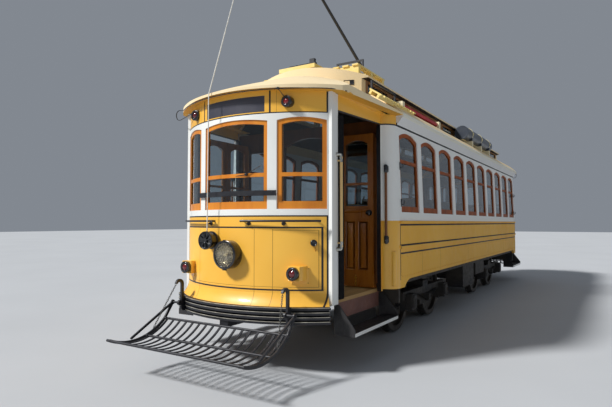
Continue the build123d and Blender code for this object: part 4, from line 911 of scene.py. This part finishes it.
# %% Red lamps
def red_lamp(name, x, z, radius, back_y, face_y):
    """A black ring with a step, and a red glass dome in it."""
    rim = drum(name + "_rims", (x, (back_y + face_y) / 2, z), radius, back_y - face_y, front, 36)
    rim_steps = [(0.10, 0.0), (0.06, 0.004), (0.26, 0.0), (0.05, -0.012)]
    stepped(rim, front, *[(radius * share, rise) for share, rise in rim_steps])
    dressed(softened(rim, 0.0015), "gloss_black")
    dome = ball(name + "_lenses", (x, face_y + 0.006, z), (radius * 0.55, 0.016, radius * 0.55))
    dressed(dome, "red_lens")
    for piece in (rim, dome):
        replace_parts(repeated(piece), "end_lamps")


marker_x, marker_z = 0.630, 2.750
red_lamp("tail_lamp", tail_x, tail_z, 0.067, box_face_y + 0.004, -5.492)
red_lamp("marker_lamp", marker_x, marker_z, 0.060, -5.385, -5.452)

# %% [markdown]
# ## Folding doors
# Every leaf is the same, so its mouldings, panes and fittings are modelled once, in the leaf's
# own place: the hinge edge is upright through the origin and the leaf runs along -Y. Copies then
# take the places of the eight leaves. The near front pair is folded open, the rest are closed.

# %% Mouldings and panes of one leaf
leaf_thickness = 0.030
panel_low, panel_high, panel_half = 0.204, 0.794, 0.070
moulding_steps = [(0.007, 0.0), (0.004, -0.004), (0.003, -0.004), (0.018, 0.0), (0.008, 0.005)]
mouldings = []
for middle in (-0.13925, -0.31075):
    for face_x, outward in ((0.0, -1.0), (leaf_thickness, 1.0)):
        back, proud = face_x - outward * 0.0065, face_x + outward * 0.0015
        moulding = block(
            "leaf_mouldings",
            (min(back, proud), middle - panel_half, panel_low - 0.006),
            (max(back, proud), middle + panel_half, panel_high + 0.006),
        )
        stepped(moulding, right * outward, *moulding_steps)
        mouldings.append(softened(moulding, 0.001, 1))
lift_rail = block("leaf_mouldings", (-0.007, -0.385, 0.900), (0.0, -0.065, 0.936))
mouldings.append(softened(stepped(lift_rail, -right, (0.008, 0.004)), 0.002))
leaf_mouldings = joined("leaf_mouldings", mouldings)

panes = []
for low, high in ((0.973, 1.236), (1.258, 1.790)):
    pane = block("leaf_panes", (0.013, -0.379, low), (0.017, -0.071, high))
    panes.append(softened(pane, 0.001, 1))
leaf_panes = joined("leaf_panes", panes)
print("one leaf:", len(leaf_mouldings.data.polygons), "faces on its mouldings")

# %% [markdown]
# ## Knob and bolt
# The second leaf of each pair has a round black knob on a flat rose, and a brass bolt at its
# foot. One turned profile could make the knob, but a flattened ball, a short bar and a drum are
# easier to move apart. The bolt is a bar in two small keeps.


# %% Bars along points
def rod(name, points, radius, bends=True):
    """A round bar along a few points, with rounded or square corners."""
    bpy.ops.object.select_all(action="DESELECT")
    bpy.ops.curve.primitive_nurbs_path_add()
    curve = bpy.context.object.data
    curve.splines.clear()
    spline = curve.splines.new("NURBS" if bends else "POLY")
    spline.points.add(len(points) - 1)
    for point, place in zip(spline.points, points):
        point.co = (*place, 1.0)
    if bends:
        spline.order_u = 3
        spline.use_endpoint_u = True
    curve.dimensions = "3D"
    curve.bevel_depth = radius
    curve.bevel_resolution = 2
    curve.resolution_u = 5
    curve.use_fill_caps = True
    bpy.ops.object.convert(target="MESH")
    piece = applied(name)
    bpy.ops.object.shade_smooth_by_angle(angle=math.radians(40))
    return piece


# %% Knob and bolt of one leaf
knob_y, knob_z = -0.398, 0.893
knob_rose = drum("leaf_knobs", (-0.003, knob_y, knob_z), 0.036, 0.006, -right, 24)
knob = ball("leaf_knob", (-0.040, knob_y, knob_z), (0.020, 0.032, 0.032), 20)
neck = rod("leaf_neck", [(0.0, knob_y, knob_z), (-0.038, knob_y, knob_z)], 0.008, False)
leaf_knobs = joined("leaf_knobs", [softened(knob_rose, 0.002), knob, neck])

bolt_x, bolt_y = -0.009, -0.215
bolts = [rod("leaf_bolts", [(bolt_x, bolt_y, 0.010), (bolt_x, bolt_y, 0.140)], 0.007, False)]
for height in (0.030, 0.105):
    keep = block("leaf_keep", (-0.017, -0.231, height), (0.001, -0.199, height + 0.014))
    bolts.append(softened(keep, 0.003))
leaf_bolts = joined("leaf_bolts", bolts)
print("knob and bolt:", len(leaf_knobs.data.polygons), len(leaf_bolts.data.polygons), "faces")


# %% Eight leaves
def about(x, y, degrees):
    """A turn about an upright line."""
    there = Matrix.Translation((x, y, 0.0))
    return there @ Matrix.Rotation(math.radians(degrees), 4, "Z") @ there.inverted()


leaf_x, leaf_foot_z = 0.985, 0.747
one = Matrix.Translation((leaf_x, -4.033, leaf_foot_z))
two = Matrix.Translation((leaf_x, -4.4863, leaf_foot_z))
opened = about(0.982, -4.030, -90)
ways = {
    "front_right": (opened, opened @ about(1.0175, -4.4855, 180)),
    "front_left": (Matrix.Scale(-1, 4, (1, 0, 0)),) * 2,
    "rear_left": (about(0, 0, 180),) * 2,
    "rear_right": (Matrix.Scale(-1, 4, (0, 1, 0)),) * 2,
}
patterns = [
    (leaf_mouldings, "_mouldings", "door", "varnished_wood", (1, 2)),
    (leaf_panes, "_panes", "glass", "window_glass", (1, 2)),
    (leaf_knobs, "_knobs", "gloss_black", "black_iron", (2,)),
    (leaf_bolts, "_bolts", "brass", "bright_metal", (2,)),
]
for corner, pair in ways.items():
    for number, (way, place) in enumerate(zip(pair, (one, two)), start=1):
        leaf = f"door_{corner}_{number}"
        for pattern, ending, paint, slot, numbers in patterns:
            if number in numbers:
                dressed(moved(pattern, way @ place, leaf + ending), paint, leaf)
for pattern in (leaf_mouldings, leaf_panes, leaf_knobs, leaf_bolts):
    alone(pattern)
    bpy.ops.object.delete()
print("leaves dressed:", len(ways) * 2)

# %% [markdown]
# ## Chains
# Each scoop hangs on two chains from hooks under the dash. One link is a stretched ring, and
# every second one is turned a quarter. An array along a curve would bend the links, so each is
# a copy at its own place between hook and slat frame.


# %% Paint for pieces between two bodies
def bending(piece, paint):
    """Gives a piece its paint and moves its place into its mesh."""
    piece.data.materials.clear()
    piece.data.materials.append(paints[paint])
    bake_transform(piece)
    return piece


# %% Chain links
def every_face(centre, normal):
    """A test that every face passes."""
    return True


chain_top, chain_foot = Vector((0.715, -5.628, 0.8435)), Vector((0.820, -5.852, 0.386))
link_count = 28
link_stretch = 1.55
down = (chain_foot - chain_top).normalized()
strands = []
for first, across in ((0, right), (1, front)):
    link = ring("link", (0, 0, 0), 0.0080, 0.0024, across, 14, 6)
    pick(link, every_face)
    bpy.ops.transform.resize(value=(1.0, 1.0, link_stretch), center_override=(0.0, 0.0, 0.0))
    leave()
    steps = [(step + 0.5) / link_count for step in range(first, link_count, 2)]
    places = [(chain_top.lerp(chain_foot, step), down) for step in steps]
    strands.append(scattered("links", link, places))
strand = dressed(joined("scoop_chain_front", strands), "chain")
strand = repeated(strand, turned=False)
far_strand = moved(strand, about(0, 0, 180), "scoop_chain_rear")
for piece, body, way in ((strand, "scoop_front", 1.0), (far_strand, "scoop_rear", -1.0)):
    ends = [(0.0, end.y * way, end.z) for end in (chain_top, chain_foot)]
    bending(unparented(piece), "chain")
    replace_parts(piece, "scoop_chains")
print("chain links:", link_count * 4)

# %% [markdown]
# ## Rail feet
# The hand rail over the dash stands on little flanged feet. Each is a short drum whose face is
# inset and lifted twice, with a round stem out to the rail. A turned profile would look the
# same, but two insets are simpler to change.

# %% Rail feet
rail_z = 1.515
feet = []
for x in (-0.297, 0.229, 0.589):
    place, toward = on_nose(x, rail_z, 0.004)
    foot = drum("rail_feet", place, 0.022, 0.008, toward, 20)
    stepped(foot, toward, (0.006, 0.004), (0.003, 0.012))
    stem_end = on_nose(x, rail_z, 0.040)[0]
    feet += [softened(foot, 0.0015), rod("foot_stem", [place, stem_end], 0.008, False)]
repeated(dressed(joined("rail_feet", feet), "rails"), mirrored=False)
print("rail feet at each end:", len(feet) // 2)

# %% [markdown]
# ## Socket on the dash
# A round black socket sits at the right of the dash, and a brass tail hangs from it. The tail
# could be a bent cylinder, but a bar along three points follows the bow of the dash by itself.

# %% Socket with its tail
place, toward = on_nose(0.850, 1.319, 0.016)
socket = drum("dash_socket", place, 0.034, 0.034, toward, 28)
stepped(socket, toward, (0.008, 0.006), (0.006, -0.010))
repeated(dressed(softened(socket, 0.003), "gloss_black"), mirrored=False)
tail_points = ((0.852, 1.300, 0.020), (0.858, 1.270, 0.030), (0.868, 1.238, 0.014))
tail = rod("socket_tail", [on_nose(x, z, out)[0] for x, z, out in tail_points], 0.007)
repeated(dressed(tail, "brass"), mirrored=False)
print("socket made")

# %% [markdown]
# ## Wiper
# One thin wiper hangs across the middle end window. It is almost straight, so a bar along three
# points and a small turned boss at its pivot are enough.

# %% Wiper
pivot, blade_end = Vector((0.197, -5.542, 2.021)), Vector((-0.343, -5.516, 1.975))
arm = rod("wiper", [(0.370, -5.510, 2.112), pivot, blade_end], 0.0045, False)
boss = drum("wiper_boss", pivot, 0.016, 0.022, front, 16)
stepped(boss, front, (0.005, 0.004))
wiper = joined("wiper", [arm, softened(boss, 0.002)])
repeated(dressed(wiper, "gloss_black"), mirrored=False)
print("wiper from pivot to tip:", round((pivot - blade_end).length, 3))

# %% [markdown]
# ## Step edges
# The steps have white edges. A painted line would be flat, while a thin strip with rounded
# edges catches the light along its length.

# %% Step edges
edge = block("step_edges", (1.214, -5.097, 0.388), (1.2245, -3.958, 0.422))
stepped(edge, right, (0.004, -0.001))
repeated(dressed(softened(edge, 0.002), "white"))
print("step edges made")

# %% [markdown]
# ## Tank on the roof
# Three cream bands hold the tank on its saddles, and a cap with a raised rim closes each end. A
# band could be cut from a tube, but a thin ring that is stretched along the tank is a flat
# strip already.

# %% Tank bands and caps
tank_x, tank_z = 1.03, 3.215
band_stretch = 4.0
bands = []
for y in (0.150, 0.900, 1.650):
    band = ring("tank_bands", (tank_x, y, tank_z), 0.131, 0.0035, front, 40, 8)
    pick(band, every_face)
    bpy.ops.transform.resize(value=(1.0, band_stretch, 1.0), center_override=(tank_x, y, tank_z))
    leave()
    lug = block("band_lug", (1.148, y - 0.012, 3.195), (1.172, y + 0.012, 3.235))
    bands += [band, softened(lug, 0.002)]
caps = []
for y, toward in ((-0.2, front), (1.88, -front)):
    cap = drum("tank_cap", (tank_x, y - toward.y * 0.005, tank_z), 0.122, 0.012, toward, 40)
    caps.append(softened(stepped(cap, toward, (0.012, 0.0), (0.010, -0.005)), 0.002))
bands = dressed(joined("tank_bands", bands), "cream")
dressed(joined("tank_caps", caps), "tank")
print("tank band faces:", len(bands.data.polygons))

# %% [markdown]
# ## Wire along the hood
# A dark wire is clipped along the edge of the hood and hangs in a loose loop at the far corner.
# The points along the edge are measured out from the bow of the end, so the bar that runs
# through them keeps to the edge. Those of the loop are listed one by one.

# %% Wire along the hood
rim_z, rim_out = 2.868, 0.092
wire_points = []
for x in (-0.92, -0.75, -0.50, -0.15, 0.20, 0.55, 0.85, 1.02):
    wire_points.append(on_nose(x, rim_z, rim_out)[0])
wire_points.append(Vector((1.135, -5.09, 2.860)))
rim_corner, sideways = on_nose(-1.0, rim_z, rim_out)[0], Vector((-0.8487, -0.5289, 0.0))
loop = [
    rim_corner + sideways * 0.050 + up * 0.040, rim_corner + sideways * 0.085 - up * 0.020,
    rim_corner + sideways * 0.055 - up * 0.105, Vector((-0.900, -5.330, 2.780)),
    Vector((-0.660, -5.430, 2.790)),
]
wire = rod("hood_wire", list(reversed(loop)) + wire_points, 0.0055)
clip_place, clip_toward = on_nose(0.55, rim_z, rim_out)
clip = plate("wire_clip", clip_place, clip_toward, (0.030, 0.026, 0.020))
stepped(clip, clip_toward, (0.005, 0.003))
lead_points = [clip_place, on_nose(0.575, 2.83, 0.045)[0], Vector((0.610, -5.440, 2.790))]
lead = rod("lamp_lead", lead_points, 0.004)
wire = joined("hood_wire", [wire, softened(clip, 0.002), lead])
repeated(dressed(wire, "gloss_black"), mirrored=False)
print("wire laid with", len(wire_points) + len(loop), "points")

# %% [markdown]
# ## Ends of the grab poles
# The front grab poles are held by bent elbows with a round cup at the wall, the rear ones by
# black sockets on little plates. The elbows are rounded bars along four points. The sockets
# are drums whose ends are inset and sunk a little, like a collar round the pole.

# %% Elbows of the front grab poles
grab_x, grab_y = 1.047, -5.050
elbow_radius = 0.0165
elbows = []
for z, drop in ((2.205, -0.02), (1.270, 0.02)):
    bend_z = z - drop * 0.9
    points = [
        (grab_x, grab_y, z + drop * 3), (grab_x, grab_y, bend_z),
        (1.030, -5.063, bend_z), (1.010, -5.078, bend_z),
    ]
    elbows.append(rod("pole_elbows", points, elbow_radius))
    cup = drum("elbow_cup", (1.012, -5.076, bend_z), 0.024, 0.008, right, 20)
    elbows.append(softened(stepped(cup, right, (0.006, 0.004)), 0.002))
repeated(dressed(joined("pole_elbows", elbows), "bright"))
print("elbows made")

# %% Sockets of the rear grab poles
sockets = []
for z in (2.150, 1.325):
    cup = drum("pole_sockets", (1.165, -4.165, z), 0.0235, 0.090, up, 20)
    pick(cup, lambda centre, normal: abs(normal.z) > 0.9)
    inset(0.004, -0.002)
    leave()
    foot = plate("socket_foot", (1.165, -4.143, z), front, (0.050, 0.012, 0.070))
    stepped(foot, front, (0.006, 0.002))
    sockets += [softened(cup, 0.003), softened(foot, 0.003)]
repeated(dressed(joined("pole_sockets", sockets), "gloss_black"))
print("sockets made")

# %% [markdown]
# ## Rivets and corner strips
# Rivets follow the edges of the side panels, and a round strip with its own rivets covers each
# corner of the body. One domed head is modelled and copied to every place. Bumps in the paint
# would be lighter, but heads made of mesh also show at the outline.

# %% Rivets of the side panels
panel_x, panel_end_y = 1.2695, -3.92
places = [((panel_x, panel_end_y + 0.08 * step, 0.885), right) for step in range(99)]
places += [((panel_x, -3.965, 0.90 + 0.035 * step), right) for step in range(8)]
places += [((panel_x, panel_end_y + 0.16 * step, 1.118), right) for step in range(50)]
rivets = scattered("side_rivets", stud("rivet", 0.0100, 0.005), places)
repeated(dressed(rivets, "yellow"), turned=False)
print("rivets:", 2 * len(places))

# %% Cover strip on the corner
cover = drum("corner_covers", (1.226, -4.088, 0.985), 0.032, 0.400, up, 24)
stepped(cover, -up, (0.006, -0.002))
repeated(dressed(softened(cover, 0.014, 4), "yellow"))
places = [((1.190, -4.127, 0.84 + 0.045 * step), Vector((0.45, -0.89, 0.0))) for step in range(9)]
cover_rivets = scattered("cover_rivets", stud("rivet", 0.0075, 0.004), places)
repeated(dressed(cover_rivets, "yellow"))
print("cover rivets:", 4 * len(places))

# %% [markdown]
# ## Wall hooks
# Two small hooks stand beside the first side window. Each is a bent bar on a little plate. A
# bar keeps its round section through the bend, which an extruded face would lose.

# %% Hooks beside the first window
hook_y = -3.93
hooks = []
for z, wall_x in ((2.200, 1.248), (1.760, 1.263)):
    low, high = (wall_x - 0.002, -3.945, z - 0.045), (wall_x + 0.008, -3.915, z + 0.045)
    foot = stepped(block("wall_hooks", low, high), right, (0.005, 0.002))
    bend = [(0.005, -0.020), (0.034, -0.020), (0.040, 0.010), (0.034, 0.028)]
    hook = rod("wall_hook", [(wall_x + out, hook_y, z + rise) for out, rise in bend], 0.006)
    hooks += [softened(foot, 0.002), hook]
repeated(dressed(joined("wall_hooks", hooks), "gloss_black"))
print("wall hooks made")

# %% [markdown]
# ## Painted glints on the bumper ribs
# Each of the four ribs of the bumper has a pale line along its edge, a painted highlight for the
# glint of light there. A mask in the paint could show it, but a thin bar laid along each rib, on
# the same bow, stays sharp from every side.

# %% Painted glints along the bumper ribs
edges = []
for rib_top in (0.551, 0.5967, 0.6423, 0.6875):
    arc = [on_nose(-0.960 + 0.080 * step, rib_top - 0.001, 0.1175)[0] for step in range(25)]
    edges.append(rod("bumper_glint_lines", arc, 0.0022, False))
# The pale bars are a painted highlight: the glint of light along each rib edge.
repeated(dressed(joined("bumper_glint_lines", edges), "worn"), mirrored=False)
print("worn edges made")

# %% [markdown]
# ## Axle boxes and springs
# Each truck side has a stepped lid on both axle boxes and a leaf spring of five straps in a
# band. The lids are boxes with insets. A strap is a round bar along three points, widened to a
# flat section, and every strap is shorter than the one above it.

# %% Axle box lids and springs
wheel_places, wheel_z = (2.985, 1.515), 0.445
spring_x, spring_reach, spring_rise, strap_widening = 1.022, 0.40, 0.05, 5.0


def axle_lid(y):
    """A lid in two steps with its hinge pin above it."""
    lid = block("axle_lids", (1.076, y - 0.070, 0.372), (1.092, y + 0.070, 0.520))
    stepped(lid, right, (0.010, 0.004), (0.028, 0.0), (0.006, 0.005))
    lid_pin = drum("lid_pin", (1.088, y, 0.528), 0.010, 0.110, front, 14)
    return [softened(lid, 0.004), softened(lid_pin, 0.003)]


def spring_strap(middle, number):
    """One flat strap of a leaf spring, shorter and lower than the one before it."""
    reach, z = spring_reach - 0.065 * number, 0.452 - 0.011 * number
    end_z = z + spring_rise * (reach / spring_reach) ** 2
    points = [
        (spring_x, middle - reach, end_z), (spring_x, middle, z - 0.02),
        (spring_x, middle + reach, end_z),
    ]
    strap = rod("leaf_spring", points, 0.0055)
    pick(strap, every_face)
    widened = (strap_widening, 1.0, 1.0)
    bpy.ops.transform.resize(value=widened, center_override=(spring_x, middle, z))
    leave()
    return strap


for end, body in ((-1, "truck_front"), (1, "truck_rear")):
    middle = end * 2.25
    parts = [part for wheel_y in wheel_places for part in axle_lid(end * wheel_y)]
    parts += [spring_strap(middle, number) for number in range(5)]
    band = block("spring_band", (0.985, middle - 0.035, 0.362), (1.056, middle + 0.035, 0.462))
    parts.append(softened(stepped(band, right, (0.008, 0.003)), 0.003))
    fittings = dressed(joined(body + "_fittings", parts), "iron", body)
    repeated(fittings, turned=False)
print("truck fittings made")

# %% [markdown]
# ## Wheel hubs
# Every wheel has a turned hub and a ring of eight bolts. They ride on the wheelset, so they
# turn with it. The bolts are copies of one domed head, set out round the circle.

# %% Hubs and wheel bolts
bolt_circle, bolt_face_x = 0.200, 0.777
for number, wheel_y in enumerate((-2.985, -1.515, 1.515, 2.985), start=1):
    body = f"wheelset_{number}"
    places = []
    for step in range(8):
        turn = math.radians(45 * step)
        y, z = wheel_y + bolt_circle * math.cos(turn), wheel_z + bolt_circle * math.sin(turn)
        places.append(((bolt_face_x, y, z), right))
    bolts = scattered(body + "_bolts", stud("wheel_bolt", 0.016, 0.014), places)
    hub = drum("wheel_hub", (0.836, wheel_y, wheel_z), 0.098, 0.030, right, 32)
    stepped(hub, right, (0.012, 0.006), (0.010, -0.004))
    wheel = joined(body + "_hub", [softened(hub, 0.003), bolts])
    repeated(dressed(wheel, "iron", body), turned=False)
print("hubs made")

# %% [markdown]
# ## Trolley wheels
# Each trolley pole ends in a fork with a grooved wheel. The groove is the side of the drum,
# inset and drawn in, which leaves a flange on either hand. The cheeks of the fork are bars
# along three points.

# %% Trolley wheels
pole_ends = {
    "pole_front": (Vector((0.0, -5.147, 5.467)), Vector((0.0, -3.581, 1.826)).normalized()),
    "pole_rear": (Vector((0.0, 5.545, 3.650)), Vector((0.0, 1.0, 0.015)).normalized()),
}
groove = 0.78
for body, (tip, along) in pole_ends.items():
    wheel_place = tip + along * 0.035
    wheel = drum("trolley_wheel", wheel_place, 0.042, 0.026, right, 32)
    pick(wheel, lambda centre, normal: abs(normal.x) < 0.1)
    inset(0.006)
    bpy.ops.transform.resize(value=(1.0, groove, groove), center_override=tuple(wheel_place))
    leave()
    parts = [softened(wheel, 0.0015)]
    for side in (-1, 1):
        cheek = [
            tip - along * 0.070 + right * side * 0.012, tip - along * 0.030 + right * side * 0.020,
            wheel_place + right * side * 0.020 + along * 0.012,
        ]
        parts.append(rod("trolley_fork", cheek, 0.0055))
    pin = drum("trolley_pin", wheel_place, 0.006, 0.054, right, 12)
    parts.append(softened(pin, 0.0015))
    dressed(joined(body + "_wheel", parts), "brass", body)
print("trolley wheels made")

# %% [markdown]
# ## Pole springs
# Two coiled springs pull at the base of each pole. A screw modifier could wind them, but a
# rounded bar with four points to a turn, each a little further along, gives the same coil.

# %% Springs on the pole bases
coil_radius, coil_advance = 0.020, 0.0052
for body, sign in (("pole_base_front", -1), ("pole_base_rear", 1)):
    low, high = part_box(body)
    springs = []
    for side in (-1, 1):
        coil = [
            (
                side * 0.112 + coil_radius * math.cos(0.5 * math.pi * step),
                (low[1] + high[1]) / 2 - sign * (0.120 - coil_advance * step),
                low[2] + 0.060 + coil_radius * math.sin(0.5 * math.pi * step),
            )
            for step in range(49)
        ]
        springs.append(rod(body + "_springs", coil, 0.0045))
    dressed(joined(body + "_springs", springs), "iron", body)
print("pole springs made")

# %% [markdown]
# ## Deck vents
# A small black vent with a sunk face sits on each slanting corner of the raised roof. It is a
# plate turned to the slant and inset twice.

# %% Vents on the raised roof
place, toward = Vector((0.690, -4.170, 3.240)), Vector((0.39, -0.92, 0.0)).normalized()
vent = plate("deck_vents", place, toward, (0.125, 0.012, 0.062))
stepped(vent, toward, (0.006, 0.0), (0.002, -0.004))
repeated(dressed(softened(vent, 0.0015), "black"))
print("deck vents made")

# %% [markdown]
# ## Seat grips and ceiling lamps
# Inside, every seat back has two bent brass grips, and five lamps hang from the ceiling. Both
# are seen only through glass, so they stay plain: a bar along five points, and a drum with a
# ball below it.

# %% Seat grips
seat_pitch, grip_foot_z = 0.8, 1.840
grips = []
for number in range(8):
    y = seat_pitch * (number - 3.5) - 0.240
    for x in (0.352, 1.165):
        grip = [
            (x, y + 0.020, grip_foot_z), (x, y + 0.012, 1.888), (x + 0.012, y, 1.905),
            (x, y - 0.012, 1.888), (x, y - 0.020, grip_foot_z),
        ]
        grips.append(rod("seat_grips", grip, 0.006))
repeated(dressed(joined("seat_grips", grips), "brass"), turned=False)
print("seat grips:", 2 * len(grips))

# %% Ceiling lamps
shade = drum("lamp_shades", (0, 0, 0), 0.060, 0.030, up, 24)
stepped(shade, -up, (0.008, 0.010), (0.010, -0.006))
globe = ball("lamp_globe", (0, 0, -0.035), (0.030, 0.030, 0.034), 16)
lamp = joined("ceiling_lamps", [softened(shade, 0.003), globe])
places = [((0.0, -3.2 + 1.6 * step, 3.405), up) for step in range(5)]
dressed(scattered("ceiling_lamps", lamp, places), "lamp_glass")
print("ceiling lamps:", len(places))

# %% [markdown]
# ## Driving gear
# Both platforms have a handle on the controller and a rim on the hand brake. The handle is a
# bent bar with a rounded grip. The rim is a ring that is flattened a little, which is lighter
# than a bar bent round in a circle.

# %% Controller handle and brake rim
handle_x = -0.430
handle_bend = [(-5.180, 1.650), (-5.180, 1.700), (-5.170, 1.712), (-5.060, 1.712)]
handle = rod("driving_handles", [(handle_x, y, z) for y, z in handle_bend], 0.009)
grip = drum("handle_grip", (handle_x, -5.055, 1.745), 0.015, 0.075, up, 16)
handle = joined("driving_handles", [handle, softened(grip, 0.006, 3)])
brake_middle = (0.430, -5.200, 1.664)
rim = ring("brake_rim", brake_middle, 0.138, 0.010, up, 40, 10)
pick(rim, every_face)
bpy.ops.transform.resize(value=(1.0, 1.0, 0.8), center_override=brake_middle)
leave()
handle = joined("driving_handles", [handle, rim])
repeated(dressed(handle, "brass"), mirrored=False)
print("driving handles made")

# %% [markdown]
# ## Strips over the door headers
# A gap is left between each door header and the hood above it, and light would shine through.
# One face of a thin block, drawn out along the slope of the hood, closes it.

# %% Header strips
soffit = block("header_soffits", (0.985, -4.005, 2.7953), (1.150, -4.0, 2.8033))
pick(soffit, facing(front))
pull((0, -1.04, 0.0572))
leave()
repeated(dressed(softened(soffit, 0.001, 1), "yellow"))
print("header strips made")

# %% [markdown]
# ## Ropes of the poles
# A rope runs from each drum over the eave to the tip of its pole. It is made in two runs,
# parted low over the hood.

# %% Pole ropes
rope_radius = 0.006
drum_point, eave_point = Vector((-0.2501, -5.640, 1.4324)), Vector((-0.2325, -5.6492, 2.8922))
rope_tips = {"front": Vector((0.0, -5.0514, 5.3284)), "rear": Vector((0.0, -5.4400, 3.5650))}
for end, tip in rope_tips.items():
    way = about(0, 0, 0 if end == "front" else 180)
    knot = eave_point.lerp(tip, 0.3)
    low_run = [drum_point] + [eave_point.lerp(knot, step / 12) for step in range(13)]
    high_run = [knot.lerp(tip, step / 12) for step in range(13)]
    base, pole = f"pole_base_{end}", f"pole_{end}"
    for part, run, bodies, ends in (
        ("low", low_run, ("car_body", base), (eave_point, knot)),
        ("high", high_run, (base, pole), (knot, tip)),
    ):
        rope = rod(f"rope_{end}_{part}", [way @ place for place in run], rope_radius, False)
        bending(rope, "rope")
        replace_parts(rope, "pole_ropes")

# %% [markdown]
# ## Floor and light
# The car stands on a plain pale floor. One broad soft sun from the front left gives the
# bright dash and the shaded side of the photograph, and a pale sky fills the shadows.

# %% Floor, light and sky
bpy.ops.object.select_all(action="DESELECT")
bpy.ops.mesh.primitive_plane_add(size=160.0, location=(0.0, 0.0, 0.0))
ground = bpy.context.object
ground.name = "pale_floor"
floor_paint = finish("pale_floor", "#BEC0C2", "#B8BABC", patch=0.3, rough=(0.8, 0.9), bump=0.02)
ground.data.materials.append(floor_paint)

sun = bpy.data.lights.new("soft_sun", "SUN")
sun.energy = 4.1
sun.angle = math.radians(8)
sun_place = bpy.data.objects.new("soft_sun", sun)
sun_place.rotation_euler = Vector((-0.55, -0.75, 0.85)).to_track_quat("Z", "Y").to_euler()
bpy.context.scene.collection.objects.link(sun_place)

sky = bpy.data.worlds.new("pale_sky")
sky.use_nodes = True
sky.node_tree.nodes["Background"].inputs["Color"].default_value = (0.80, 0.88, 1.0, 1.0)
sky.node_tree.nodes["Background"].inputs["Strength"].default_value = 0.28
bpy.context.scene.world = sky
bpy.context.scene.view_settings.view_transform = "Standard"
